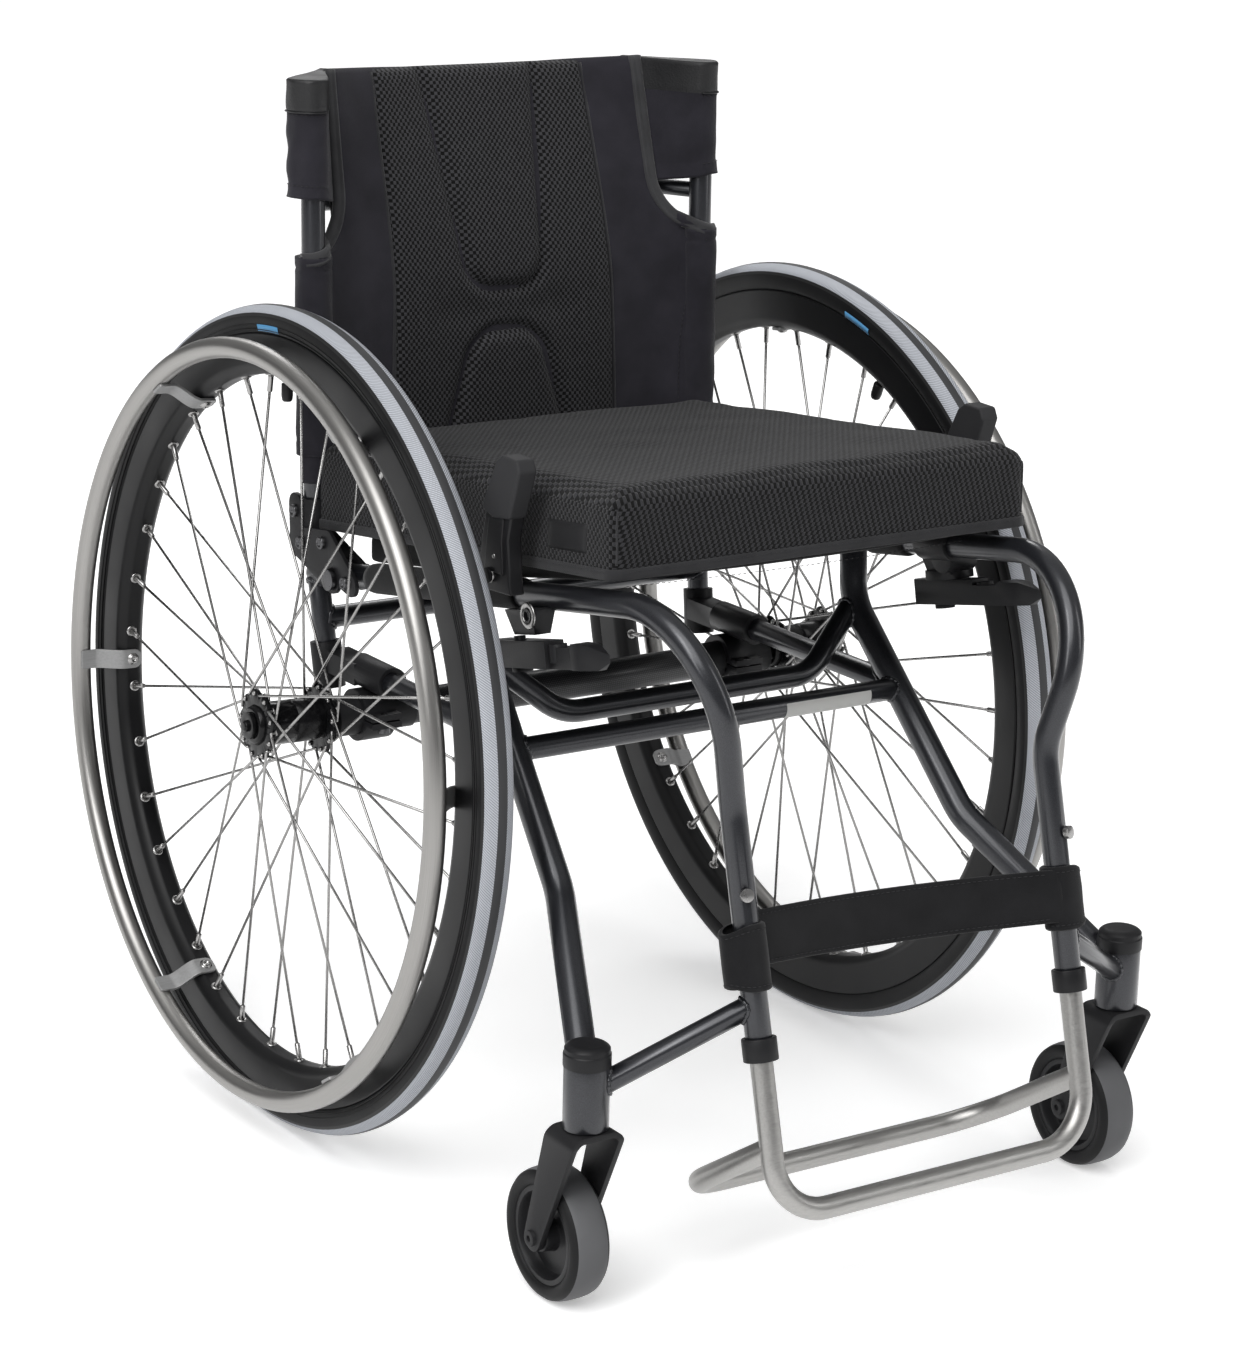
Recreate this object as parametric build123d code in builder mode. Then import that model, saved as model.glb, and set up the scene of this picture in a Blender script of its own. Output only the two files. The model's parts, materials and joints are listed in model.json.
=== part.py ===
from build123d import *

import os
from math import cos, degrees, pi, radians, sin, tan

os.makedirs("parts", exist_ok=True)

# ------------------------------------------------------------------ driving dimensions (mm)
# x runs to the user's left, y to the rear and z up from the floor.
# Places are given from the rear axle line in y: at() moves them to the chair's own middle.

# rear wheels: 24 inch, 25-540 tyre
WHEEL_R = 295.0
TYRE_HALF_W = 12.5
TREAD_HALF = 6.5
TREAD_DROP = 2.8
TREAD_R = (TREAD_HALF**2 + TREAD_DROP**2) / (2 * TREAD_DROP)
RIM_IN_R = 246.0
RIM_OUT_R = 275.0
RIM_HALF_W = 10.9
RIM_WALL = 1.7
CAMBER = radians(2.0)
HALF_TRACK = 225.5
AXLE_Z = (WHEEL_R - TREAD_R) * cos(CAMBER) + TREAD_R
SPOKES = 36
SPOKE_R = 1.0
SPOKE_LEAD = radians(60.0)
FLANGE_R = 25.5
SPOKE_FOOT_R = FLANGE_R + 0.9
SPOKE_TIP_R = RIM_IN_R - 0.15
FLANGE_T = 3.4
FLANGE_OUT = 22.0
FLANGE_IN = -27.0
HANDRIM_R = 266.0
HANDRIM_TUBE_R = 7.5
HANDRIM_OUT = 34.0
TABS = 6
TAB_W = 14.5
TAB_T = 2.5
TAB_END = 6.0

# quick-release axle
PIN_R = 6.35
PIN_FIT = 0.05
HUB_OUT = 27.7
HUB_IN = -33.0
SLEEVE_LENGTH = 62.0
PIN_TIP = HUB_IN - 4.6 - SLEEVE_LENGTH + 2
SLEEVE_R = 14.0
SLEEVE_Z = 292.0

# welded frame tubes
RAIL_R = 8.75
FRONT_BORE_Z = 322.0
LEG_R = 10.0
CROSS_R = 8.0
POST_WALL = 1.5
RAIL_X = 166.0
FRONT_X = 127.0
LEG_TILT = radians(14.65)
KNEE_Z = 335.0
KNEE_Y = -409.5
FRONT_END_Z = 178.5

# footrest, which slides in the front tubes
FOOT_R = 7.5
FOOT_FIT = 0.1
FOOT_BAR_Z = 76.8
FOOT_TOP_Z = 310.0
FOOT_BEND = 37.0
SCREW_Z = 279.0
SCREW_R = 2.5

# casters
CASTER_X = 220.5
CASTER_Y = -393.0
CASTER_R = 44.5
CASTER_HALF_W = 14.5
CASTER_TRAIL = 30.0
HOUSING_R = 15.0
HOUSING_BOTTOM = 129.0
HOUSING_TOP = 171.0
CAP_R = 15.6
STEM_R = 6.0

# folding backrest
PIVOT_Y = 19.0
PIVOT_Z = 389.0
PIVOT_R = 5.0
POST_R = 8.5
POST_BOTTOM = 393.5
POST_TOP = 732.0
POST_LEAN = 0.022

# seat
SEAT_HALF_W = 165.0

SIDES = (("left", 1), ("right", -1))

FOOT_BAR_Y = KNEE_Y - (KNEE_Z - FOOT_BAR_Z) * tan(LEG_TILT)
FRONT_REACH = FOOT_BAR_Y - FOOT_R
AXLE_Y = -(FRONT_REACH + WHEEL_R) / 2


# ------------------------------------------------------------------ helpers
def at(x, y, z):
    """Point given from the axle line in y, in the chair's frame."""
    return Vector(x, y + AXLE_Y, z)


def save(builder, label):
    """Name a finished sub-part and write it to its own file."""
    builder.part.label = label
    export_step(builder.part, f"parts/{label}.step")


def rod(start, end, radius, mode=Mode.ADD):
    """Cylinder from start to end in the part being built."""
    run = end - start
    with Locations(Plane(origin=start, z_dir=run).location):
        Cylinder(radius, run.length, align=(Align.CENTER, Align.CENTER, Align.MIN), mode=mode)


def bent_tube(points, bends, outer, wall):
    """Round tube along straight runs, with a bend of its own radius at each inner corner."""
    starts = [points[0]]
    with BuildPart() as pipe:
        for before, corner, after, bend in zip(points, points[1:], points[2:], bends):
            back = (before - corner).normalized()
            ahead = (after - corner).normalized()
            half = radians(back.get_angle(ahead)) / 2
            first = corner + back * (bend / tan(half))
            last = corner + ahead * (bend / tan(half))
            middle = corner + (back + ahead).normalized() * (bend / sin(half))
            with BuildSketch(Plane(origin=first, z_dir=-back)):
                Circle(outer)
                if wall:
                    Circle(outer - wall, mode=Mode.SUBTRACT)
            revolve(axis=Axis(middle, ahead.cross(back)), revolution_arc=180 - degrees(2 * half))
            starts += [first, last]
        starts.append(points[-1])
        for start, end in zip(starts[::2], starts[1::2]):
            with BuildSketch(Plane(origin=start, z_dir=end - start)):
                Circle(outer)
                if wall:
                    Circle(outer - wall, mode=Mode.SUBTRACT)
            extrude(amount=(end - start).length)
    return pipe.part


def side_plane(side, x):
    """Plane across the chair at x: local x points forward, local y up, normal outboard or inboard."""
    return Plane(origin=(side * x, AXLE_Y, 0), x_dir=(0, -1, 0), z_dir=(-1, 0, 0))


# ------------------------------------------------------------------ wheel frame
def axle_centre(side):
    return at(side * HALF_TRACK, 0, AXLE_Z)


def outward(side):
    """Unit vector along the cambered axle, away from the chair."""
    return Vector(side * cos(CAMBER), 0, sin(CAMBER))


def wheel_plane(side):
    """Profile plane of a rear wheel: local x is radial to the rear, local y outward along the axle."""
    across = Vector(0, 1, 0).cross(outward(side))
    return Plane(origin=axle_centre(side), x_dir=(0, 1, 0), z_dir=across)


def wheel_axis(side):
    return Axis(axle_centre(side), outward(side))


def on_wheel(side, radius, angle, out):
    """Point on a rear wheel; the angle runs from the rear upward."""
    up = Vector(-side * sin(CAMBER), 0, cos(CAMBER))
    return (
        axle_centre(side)
        + Vector(0, 1, 0) * (radius * cos(angle))
        + up * (radius * sin(angle))
        + outward(side) * out
    )


def make_tyre(side, name):
    bead = RIM_IN_R + 16
    shoulder = WHEEL_R - TREAD_DROP
    with BuildPart() as tyre:
        with BuildSketch(wheel_plane(side)):
            with BuildLine():
                Polyline(
                    (RIM_OUT_R, -RIM_HALF_W + RIM_WALL),
                    (bead + 4, -8.6),
                    (bead, -5),
                    (bead, 5),
                    (bead + 4, 8.6),
                    (RIM_OUT_R, RIM_HALF_W - RIM_WALL),
                )
                ThreePointArc(
                    (RIM_OUT_R, RIM_HALF_W - RIM_WALL), (284, TYRE_HALF_W), (shoulder, TREAD_HALF)
                )
                ThreePointArc((shoulder, TREAD_HALF), (WHEEL_R, 0), (shoulder, -TREAD_HALF))
                ThreePointArc(
                    (shoulder, -TREAD_HALF), (284, -TYRE_HALF_W), (RIM_OUT_R, -RIM_HALF_W + RIM_WALL)
                )
            make_face()
        revolve(axis=wheel_axis(side))
    save(tyre, f"tyre_{name}")


# where each wheel has stopped: the angle of its valve from the rear upward, in degrees
VALVE_ANGLE = {"left": 113.0, "right": 86.75}


def spoke_turn(name):
    """How far a wheel's lacing is turned; the valve sits midway between two spoke holes."""
    return radians(VALVE_ANGLE[name] - 85)


def make_rim(side, name):
    """Double-wall rim with its well, and the valve stem that comes through it."""
    well = RIM_IN_R + 16
    with BuildPart() as rim:
        with BuildSketch(wheel_plane(side)):
            with BuildLine():
                Polyline(
                    (RIM_IN_R, -5.5),
                    (RIM_IN_R + 7, -RIM_HALF_W),
                    (RIM_OUT_R, -RIM_HALF_W),
                    (RIM_OUT_R, -RIM_HALF_W + RIM_WALL),
                    (well + 4, -8.6),
                    (well, -5),
                    (well, 5),
                    (well + 4, 8.6),
                    (RIM_OUT_R, RIM_HALF_W - RIM_WALL),
                    (RIM_OUT_R, RIM_HALF_W),
                    (RIM_IN_R + 7, RIM_HALF_W),
                    (RIM_IN_R, 5.5),
                    close=True,
                )
            make_face()
        revolve(axis=wheel_axis(side))
        angle = radians(VALVE_ANGLE[name])
        rod(on_wheel(side, RIM_IN_R - 10, angle, 0), on_wheel(side, RIM_IN_R + 3, angle, 0), 2.6)
        rod(on_wheel(side, RIM_IN_R - 18, angle, 0), on_wheel(side, RIM_IN_R - 5, angle, 0), 4.0)
    save(rim, f"rim_{name}")


def spoke_ends(turned):
    """Hub and rim ends of every spoke, as (radius, angle, out) triples, laced three-cross."""
    ends = []
    pitch = 2 * pi / SPOKES
    for flange, start in ((FLANGE_OUT, 0.0), (FLANGE_IN, pitch)):
        for i in range(SPOKES // 2):
            hub_angle = turned + start + 2 * pitch * i
            turn = 1 if i % 2 else -1
            foot = (SPOKE_FOOT_R, hub_angle, flange + turn * 1.4)
            ends.append((foot, (SPOKE_TIP_R, hub_angle + turn * SPOKE_LEAD, turn * 1.2)))
    return ends


def make_spokes(side, name):
    with BuildPart() as spokes:
        for hub_end, rim_end in spoke_ends(spoke_turn(name)):
            foot, tip = on_wheel(side, *hub_end), on_wheel(side, *rim_end)
            with BuildSketch(Plane(origin=foot, z_dir=tip - foot)):
                RegularPolygon(SPOKE_R, 6)
            extrude(amount=(tip - foot).length)
    save(spokes, f"spokes_{name}")


def make_hub(side, name):
    """Hub shell with two spoke flanges, bored for the quick-release axle."""
    with BuildPart() as hub:
        with BuildSketch(wheel_plane(side)):
            with BuildLine():
                Polyline(
                    (PIN_R + PIN_FIT, HUB_IN),
                    (12.5, HUB_IN),
                    (14.0, HUB_IN + 2),
                    (14.0, FLANGE_IN - FLANGE_T / 2),
                    (FLANGE_R, FLANGE_IN - FLANGE_T / 2),
                    (FLANGE_R, FLANGE_IN + FLANGE_T / 2),
                    (18.5, FLANGE_IN + FLANGE_T / 2 + 1.5),
                    (15.5, FLANGE_IN + 8),
                    (15.5, FLANGE_OUT - 8),
                    (18.5, FLANGE_OUT - FLANGE_T / 2 - 1.5),
                    (FLANGE_R, FLANGE_OUT - FLANGE_T / 2),
                    (FLANGE_R, FLANGE_OUT + FLANGE_T / 2),
                    (15.0, FLANGE_OUT + FLANGE_T / 2),
                    (14.0, HUB_OUT - 1),
                    (12.5, HUB_OUT),
                    (PIN_R + PIN_FIT, HUB_OUT),
                    close=True,
                )
            make_face()
        revolve(axis=wheel_axis(side))
    save(hub, f"hub_{name}")


def make_handrim(side, name):
    with BuildPart() as handrim:
        with BuildSketch(wheel_plane(side)):
            with Locations((HANDRIM_R, HANDRIM_OUT)):
                Circle(HANDRIM_TUBE_R)
        revolve(axis=wheel_axis(side))
    save(handrim, f"handrim_{name}")


def tab_strap(side, angle):
    """Strap bent to an S from the rim's inner face out to the handrim, round at both ends."""
    radial = Vector(0, cos(angle), 0) + Vector(-side * sin(CAMBER), 0, cos(CAMBER)) * sin(angle)
    # faces sunk a little into rim and handrim, whose own shapes are then cut away
    low, high = RIM_IN_R + 0.2, HANDRIM_R - HANDRIM_TUBE_R + 0.5
    with BuildPart() as strap:
        with BuildSketch(Plane(origin=axle_centre(side), x_dir=radial, z_dir=radial.cross(outward(side)))):
            with BuildLine():
                Polyline((low, -TAB_END), (low, 8), (high, 26), (high, HANDRIM_OUT + 3.5))
                Polyline((high, HANDRIM_OUT + 3.5), (high - TAB_T, HANDRIM_OUT + 3.5), (high - TAB_T, 27))
                Polyline((high - TAB_T, 27), (low - TAB_T, 9), (low - TAB_T, -TAB_END), (low, -TAB_END))
            make_face()
        extrude(amount=TAB_W / 2, both=True)
        ends = strap.edges().filter_by(Axis(axle_centre(side), radial)).group_by(wheel_axis(side))
        fillet(ends[0], TAB_W / 2 - 0.5)
        rod(
            on_wheel(side, low - TAB_T - 1.8, angle, 1),
            on_wheel(side, low - TAB_T + 0.5, angle, 1),
            3.6,
        )
    return strap.part


def make_tabs(side, name):
    """Bent straps that carry the handrim, each screwed to the rim midway between two spokes."""
    with BuildPart() as tabs:
        for i in range(TABS):
            add(tab_strap(side, radians(VALVE_ANGLE[name]) + 2 * pi * (i + 0.5) / TABS))
        with BuildSketch(wheel_plane(side)):
            with Locations((HANDRIM_R, HANDRIM_OUT)):
                Circle(HANDRIM_TUBE_R)
            with Locations((RIM_IN_R + 2, 0)):
                Rectangle(4, 2 * TAB_END + 1)
        revolve(axis=wheel_axis(side), mode=Mode.SUBTRACT)
    save(tabs, f"handrim_tabs_{name}")


def make_axle_pin(side, name):
    """Quick-release axle: pin with two lock balls at its tip, an outer flange and the push button."""
    flange_face = HUB_OUT + 0.3
    with BuildPart() as pin:
        rod(on_wheel(side, 0, 0, PIN_TIP), on_wheel(side, 0, 0, flange_face), PIN_R)
        rod(on_wheel(side, 0, 0, flange_face), on_wheel(side, 0, 0, flange_face + 3), 9.5)
        rod(on_wheel(side, 0, 0, PIN_TIP + 2), on_wheel(side, 0, 0, PIN_TIP + 7), 8, Mode.SUBTRACT)
        rod(on_wheel(side, 0, 0, PIN_TIP), on_wheel(side, 0, 0, PIN_TIP + 8), PIN_R - 1)
        for turn in (0, pi):
            with Locations(on_wheel(side, PIN_R - 1.7, turn, PIN_TIP + 4.5)):
                Sphere(1.6)
        rod(on_wheel(side, 0, 0, flange_face - 24), on_wheel(side, 0, 0, flange_face + 3), 4.06, Mode.SUBTRACT)
    save(pin, f"axle_pin_{name}")
    with BuildPart() as button:
        rod(on_wheel(side, 0, 0, flange_face - 20), on_wheel(side, 0, 0, flange_face + 6), 4.0)
        chamfer(button.edges().filter_by(GeomType.CIRCLE).sort_by(wheel_axis(side))[-1], 1.2)
    save(button, f"axle_button_{name}")


# ------------------------------------------------------------------ frame centre lines
def leg_axis_point(side, z):
    """Point on the centre line of a straight front tube."""
    return at(side * FRONT_X, KNEE_Y - (KNEE_Z - z) * tan(LEG_TILT), z)


def rail_z(y):
    """Height of the seat rail's centre line."""
    return 435.5 - (y + 248) * 0.1689


def rail_path(side):
    return (
        at(side * RAIL_X, 64, rail_z(64)),
        at(side * 157, -428, rail_z(-428)),
        at(side * FRONT_X, KNEE_Y, KNEE_Z),
        leg_axis_point(side, FRONT_END_Z),
    )


RAIL_BENDS = [72, 50]


def leg_path(side):
    return (
        at(side * 163, -143, rail_z(-143)),
        at(side * 157, -154, 373),
        at(side * 169, -276, 243),
        at(side * CASTER_X, CASTER_Y, 155),
    )


LEG_BENDS = [50, 60]
CROSS_TUBE_Y = -205.0
CROSS_TUBE_Z = 319.4
STAY_Z = 322.0
STAY_END = 8.0
POST_FOOT = (163.0, 49.0, 304.0)
POST_HEAD = (166.0, 62.0, 384.0)
CLAMP_X = 158.0


def rail_solid(side):
    return bent_tube(rail_path(side), RAIL_BENDS, RAIL_R, 0)


def leg_solid(side):
    return bent_tube(leg_path(side), LEG_BENDS, LEG_R, 0)


def make_side_tubes():
    """Seat rail and front tube in one bent piece; the footrest slides in its bored lower end."""
    for name, side in SIDES:
        with BuildPart() as side_tube:
            add(bent_tube(rail_path(side), RAIL_BENDS, RAIL_R, 0))
            bore = FOOT_R + FOOT_FIT
            rod(leg_axis_point(side, FRONT_END_Z - 1), leg_axis_point(side, FRONT_BORE_Z), bore, Mode.SUBTRACT)
            pivot = at(side * RAIL_X, PIVOT_Y, PIVOT_Z)
            rod(pivot - Vector(15, 0, 0), pivot + Vector(15, 0, 0), PIVOT_R + PIN_FIT, Mode.SUBTRACT)
            front = leg_axis_point(side, SCREW_Z)
            rod(front, front + screw_direction(side) * 20, SCREW_R, Mode.SUBTRACT)
        save(side_tube, f"side_tube_{name}")


def screw_direction(side):
    """Direction in which the footrest clamp screws stand out, square to the front tube."""
    return Vector(side * 0.35, -cos(LEG_TILT) * 0.937, sin(LEG_TILT) * 0.937).normalized()


def cut_housing(side):
    """Cut a tube back to the stem housing and the wider cap on it."""
    top = HOUSING_TOP - 0.3
    rod(at(side * CASTER_X, CASTER_Y, 100), at(side * CASTER_X, CASTER_Y, top), HOUSING_R, Mode.SUBTRACT)
    rod(at(side * CASTER_X, CASTER_Y, top), at(side * CASTER_X, CASTER_Y, 220), CAP_R + 0.1, Mode.SUBTRACT)


def make_leg_tubes():
    """Legs from the seat rails to the caster housings."""
    for name, side in SIDES:
        with BuildPart() as leg_tube:
            add(leg_solid(side))
            add(rail_solid(side), mode=Mode.SUBTRACT)
            cut_housing(side)
        save(leg_tube, f"leg_tube_{name}")


def make_cross_tubes():
    """Straight lower cross tube, and the support tube that dips from leg to leg behind it."""
    with BuildPart() as cross_tube:
        ends = (at(-160, CROSS_TUBE_Y, CROSS_TUBE_Z), at(160, CROSS_TUBE_Y, CROSS_TUBE_Z))
        add(bent_tube(ends, [], CROSS_R, 0))
        for _, side in SIDES:
            add(leg_solid(side), mode=Mode.SUBTRACT)
    save(cross_tube, "cross_tube")
    with BuildPart() as support_tube:
        path = (
            at(-157, -154, 373),
            at(-105, -174, 329.5),
            at(105, -174, 329.5),
            at(157, -154, 373),
        )
        add(bent_tube(path, [38, 38], CROSS_R, 0))
        for _, side in SIDES:
            add(leg_solid(side), mode=Mode.SUBTRACT)
    save(support_tube, "support_tube")


def stay_rod(side, mode=Mode.ADD):
    rod(at(side * CLAMP_X, STAY_END, STAY_Z), at(side * 160, -202, STAY_Z), CROSS_R, mode)


def make_rear_tubes():
    """Stays from the legs back to the axle clamps, rear posts up to the rails, and their cross tube."""
    with BuildPart() as stays:
        for _, side in SIDES:
            stay_rod(side)
        for _, side in SIDES:
            add(leg_solid(side), mode=Mode.SUBTRACT)
        rod(at(-170, CROSS_TUBE_Y, CROSS_TUBE_Z), at(170, CROSS_TUBE_Y, CROSS_TUBE_Z), CROSS_R, Mode.SUBTRACT)
    save(stays, "axle_stays")
    with BuildPart() as posts:
        for _, side in SIDES:
            rod(*post_ends(side), CROSS_R)
        for _, side in SIDES:
            add(rail_solid(side), mode=Mode.SUBTRACT)
    save(posts, "rear_posts")
    with BuildPart() as rear_cross:
        add(bent_tube((at(-164, 56, 350), at(164, 56, 350)), [], CROSS_R, 0))
        for _, side in SIDES:
            rod(*post_ends(side), CROSS_R, Mode.SUBTRACT)
    save(rear_cross, "rear_cross_tube")


# ------------------------------------------------------------------ rear axle assembly
SLEEVE_X = HALF_TRACK + (HUB_IN - 4.6) * cos(CAMBER)
AXLE_TUBE_R = 12.5
AXLE_TUBE_END = SLEEVE_X - SLEEVE_LENGTH + 12


def pin_bore(side, radius):
    """Cut the cambered bore of the quick-release pin."""
    rod(on_wheel(side, 0, 0, -120), on_wheel(side, 0, 0, 0), radius, Mode.SUBTRACT)


def make_axle_tube():
    """Fibre axle tube that joins the two axle sleeves."""
    with BuildPart() as axle_tube:
        ends = (at(-AXLE_TUBE_END, 0, SLEEVE_Z), at(AXLE_TUBE_END, 0, SLEEVE_Z))
        add(bent_tube(ends, [], AXLE_TUBE_R, 1.8))
        for _, side in SIDES:
            pin_bore(side, PIN_R + 1.0)
    save(axle_tube, "axle_tube")


def make_axle_sleeves():
    """Receiver sleeves: socket for the axle tube inboard, bore for the pin outboard."""
    with BuildPart() as sleeves:
        for _, side in SIDES:
            outer = at(side * SLEEVE_X, 0, SLEEVE_Z)
            inner = at(side * (SLEEVE_X - SLEEVE_LENGTH), 0, SLEEVE_Z)
            seat = at(side * AXLE_TUBE_END, 0, SLEEVE_Z)
            rod(inner, outer, SLEEVE_R)
            rod(inner, seat, AXLE_TUBE_R, Mode.SUBTRACT)
            pin_bore(side, PIN_R + PIN_FIT)
            slot = at(side * (SLEEVE_X - 32), -SLEEVE_R - 2, SLEEVE_Z - 5)
            with BuildSketch(Plane(origin=slot, x_dir=(1, 0, 0), z_dir=(0, 1, 0))):
                SlotOverall(22, 4)
            extrude(amount=6, mode=Mode.SUBTRACT)
    save(sleeves, "axle_sleeves")


def post_ends(side):
    return [at(side * x, y, z) for x, y, z in (POST_FOOT, POST_HEAD)]


def make_axle_clamps():
    """Cast clamps: a split saddle round the sleeve, and sockets for the stay and the rear post."""
    with BuildPart() as clamps:
        for _, side in SIDES:
            rod(at(side * (CLAMP_X - 12), 0, SLEEVE_Z), at(side * (CLAMP_X + 12), 0, SLEEVE_Z), SLEEVE_R + 5)
            rod(at(side * CLAMP_X, -34, STAY_Z), at(side * CLAMP_X, 12, STAY_Z), CROSS_R + 3.6)
            foot, head = post_ends(side)
            lean = (head - foot).normalized()
            rod(foot - lean * 4, foot + lean * 30, CROSS_R + 3.4)
            with Locations(at(side * (CLAMP_X + 1), 24, STAY_Z - 1)):
                Box(20, 44, 16)
            with Locations(at(side * CLAMP_X, 0, SLEEVE_Z)):
                Box(24, 54, 10)
        for _, side in SIDES:
            rod(at(side * 100, 0, SLEEVE_Z), at(side * 200, 0, SLEEVE_Z), SLEEVE_R, Mode.SUBTRACT)
            stay_rod(side, Mode.SUBTRACT)
            rod(*post_ends(side), CROSS_R, Mode.SUBTRACT)
            with Locations(at(side * CLAMP_X, 0, SLEEVE_Z)):
                Box(26, 60, 1.2, mode=Mode.SUBTRACT)
            for y in (-22.5, 22.5):
                with Locations(at(side * CLAMP_X, y, SLEEVE_Z)):
                    Cylinder(2.5, 12, mode=Mode.SUBTRACT)
    save(clamps, "axle_clamps")


def make_clamp_bolts():
    """Bolts that draw each axle clamp together."""
    with BuildPart() as bolts:
        for _, side in SIDES:
            for y in (-22.5, 22.5):
                head = at(side * CLAMP_X, y, SLEEVE_Z - 5)
                rod(head, head + Vector(0, 0, 9), 2.5)
                rod(head - Vector(0, 0, 4), head, 4.2)
    save(bolts, "clamp_bolts")


# ------------------------------------------------------------------ casters
def make_caster_housings():
    """Stem housings welded between the leg, the strut and the cap."""
    with BuildPart() as housings:
        for _, side in SIDES:
            rod(at(side * CASTER_X, CASTER_Y, HOUSING_BOTTOM), at(side * CASTER_X, CASTER_Y, HOUSING_TOP), HOUSING_R)
            rod(at(side * CASTER_X, CASTER_Y, HOUSING_BOTTOM), at(side * CASTER_X, CASTER_Y, HOUSING_TOP), 11.0, Mode.SUBTRACT)
    save(housings, "caster_housings")
    with BuildPart() as bearings:
        for _, side in SIDES:
            for z in (HOUSING_BOTTOM + 3, HOUSING_TOP - 10):
                rod(at(side * CASTER_X, CASTER_Y, z), at(side * CASTER_X, CASTER_Y, z + 7), 11.0)
                rod(at(side * CASTER_X, CASTER_Y, z), at(side * CASTER_X, CASTER_Y, z + 7), STEM_R + PIN_FIT, Mode.SUBTRACT)
    save(bearings, "caster_bearings")
    with BuildPart() as caps:
        for _, side in SIDES:
            with BuildSketch(Plane(origin=at(side * CASTER_X, CASTER_Y, HOUSING_TOP), x_dir=(1, 0, 0), z_dir=(0, -1, 0))):
                with BuildLine():
                    Polyline((0, 0), (CAP_R, 0), (CAP_R, 8.5), (14.9, 9.2), (14.9, 12.0))
                    ThreePointArc((14.9, 12.0), (12.6, 14.0), (9.5, 14.8))
                    Polyline((9.5, 14.8), (0, 15.2), (0, 0))
                make_face()
            revolve(axis=Axis(at(side * CASTER_X, CASTER_Y, 0), (0, 0, 1)))
    save(caps, "caster_caps")
    with BuildPart() as struts:
        for _, side in SIDES:
            ends = (at(side * CASTER_X, CASTER_Y, 152), leg_axis_point(side, 211))
            add(bent_tube(ends, [], CROSS_R - 0.5, 0))
        for _, side in SIDES:
            cut_housing(side)
            add(rail_solid(side), mode=Mode.SUBTRACT)
    save(struts, "caster_struts")


FORK_GAP = CASTER_HALF_W + 1.2
FORK_T = 4.0
FORK_TOP = HOUSING_BOTTOM - 0.6
FORK_BEND = 9.0
CASTER_AXLE_Y = CASTER_Y + CASTER_TRAIL


def make_fork(side, name):
    """Flat bar bent to a U, its arms sloping back to the axle, with the stem and the axle bolt."""
    centre = at(side * CASTER_X, 0, 0)
    half = FORK_GAP + FORK_T
    with BuildPart() as fork:
        with BuildSketch(Plane(origin=(centre.X, AXLE_Y + CASTER_Y - 30, 0), x_dir=(1, 0, 0), z_dir=(0, -1, 0))):
            with Locations((0, 30)):
                RectangleRounded(2 * half, 2 * (FORK_TOP - 30), FORK_BEND)
                RectangleRounded(
                    2 * FORK_GAP,
                    2 * (FORK_TOP - FORK_T - 30),
                    FORK_BEND - FORK_T,
                    mode=Mode.SUBTRACT,
                )
            with Locations((0, -20)):
                Rectangle(3 * half, 100, mode=Mode.SUBTRACT)
        extrude(amount=90, dir=(0, 1, 0))
        with BuildSketch(side_plane(1, side * CASTER_X - 60)):
            with Locations((-CASTER_AXLE_Y, CASTER_R)):
                Circle(9)
            with Locations((-CASTER_Y, FORK_TOP - 3)):
                Rectangle(32, 6)
            make_hull()
        extrude(amount=-120, mode=Mode.INTERSECT)
        rod(at(side * CASTER_X, CASTER_Y, FORK_TOP - 1), at(side * CASTER_X, CASTER_Y, HOUSING_TOP - 1), STEM_R)
        rod(at(side * CASTER_X, CASTER_Y, FORK_TOP - 1), at(side * CASTER_X, CASTER_Y, HOUSING_BOTTOM + 2.5), 9.0)
        left = at(side * CASTER_X - half - 2.5, CASTER_AXLE_Y, CASTER_R)
        right = at(side * CASTER_X + half + 2.5, CASTER_AXLE_Y, CASTER_R)
        rod(left, right, 4.0)
        for end, inner in ((left, Vector(2.5, 0, 0)), (right, Vector(-2.5, 0, 0))):
            rod(end, end + inner, 5.5)
            rod(end, end + inner * 0.6, 2.2, Mode.SUBTRACT)
    save(fork, f"caster_fork_{name}")


def caster_plane(side):
    """Profile plane of a caster wheel: local x is radial upward, local y along its axle."""
    return Plane(origin=at(side * CASTER_X, CASTER_AXLE_Y, CASTER_R), x_dir=(0, 0, 1), z_dir=(0, 1, 0))


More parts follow.
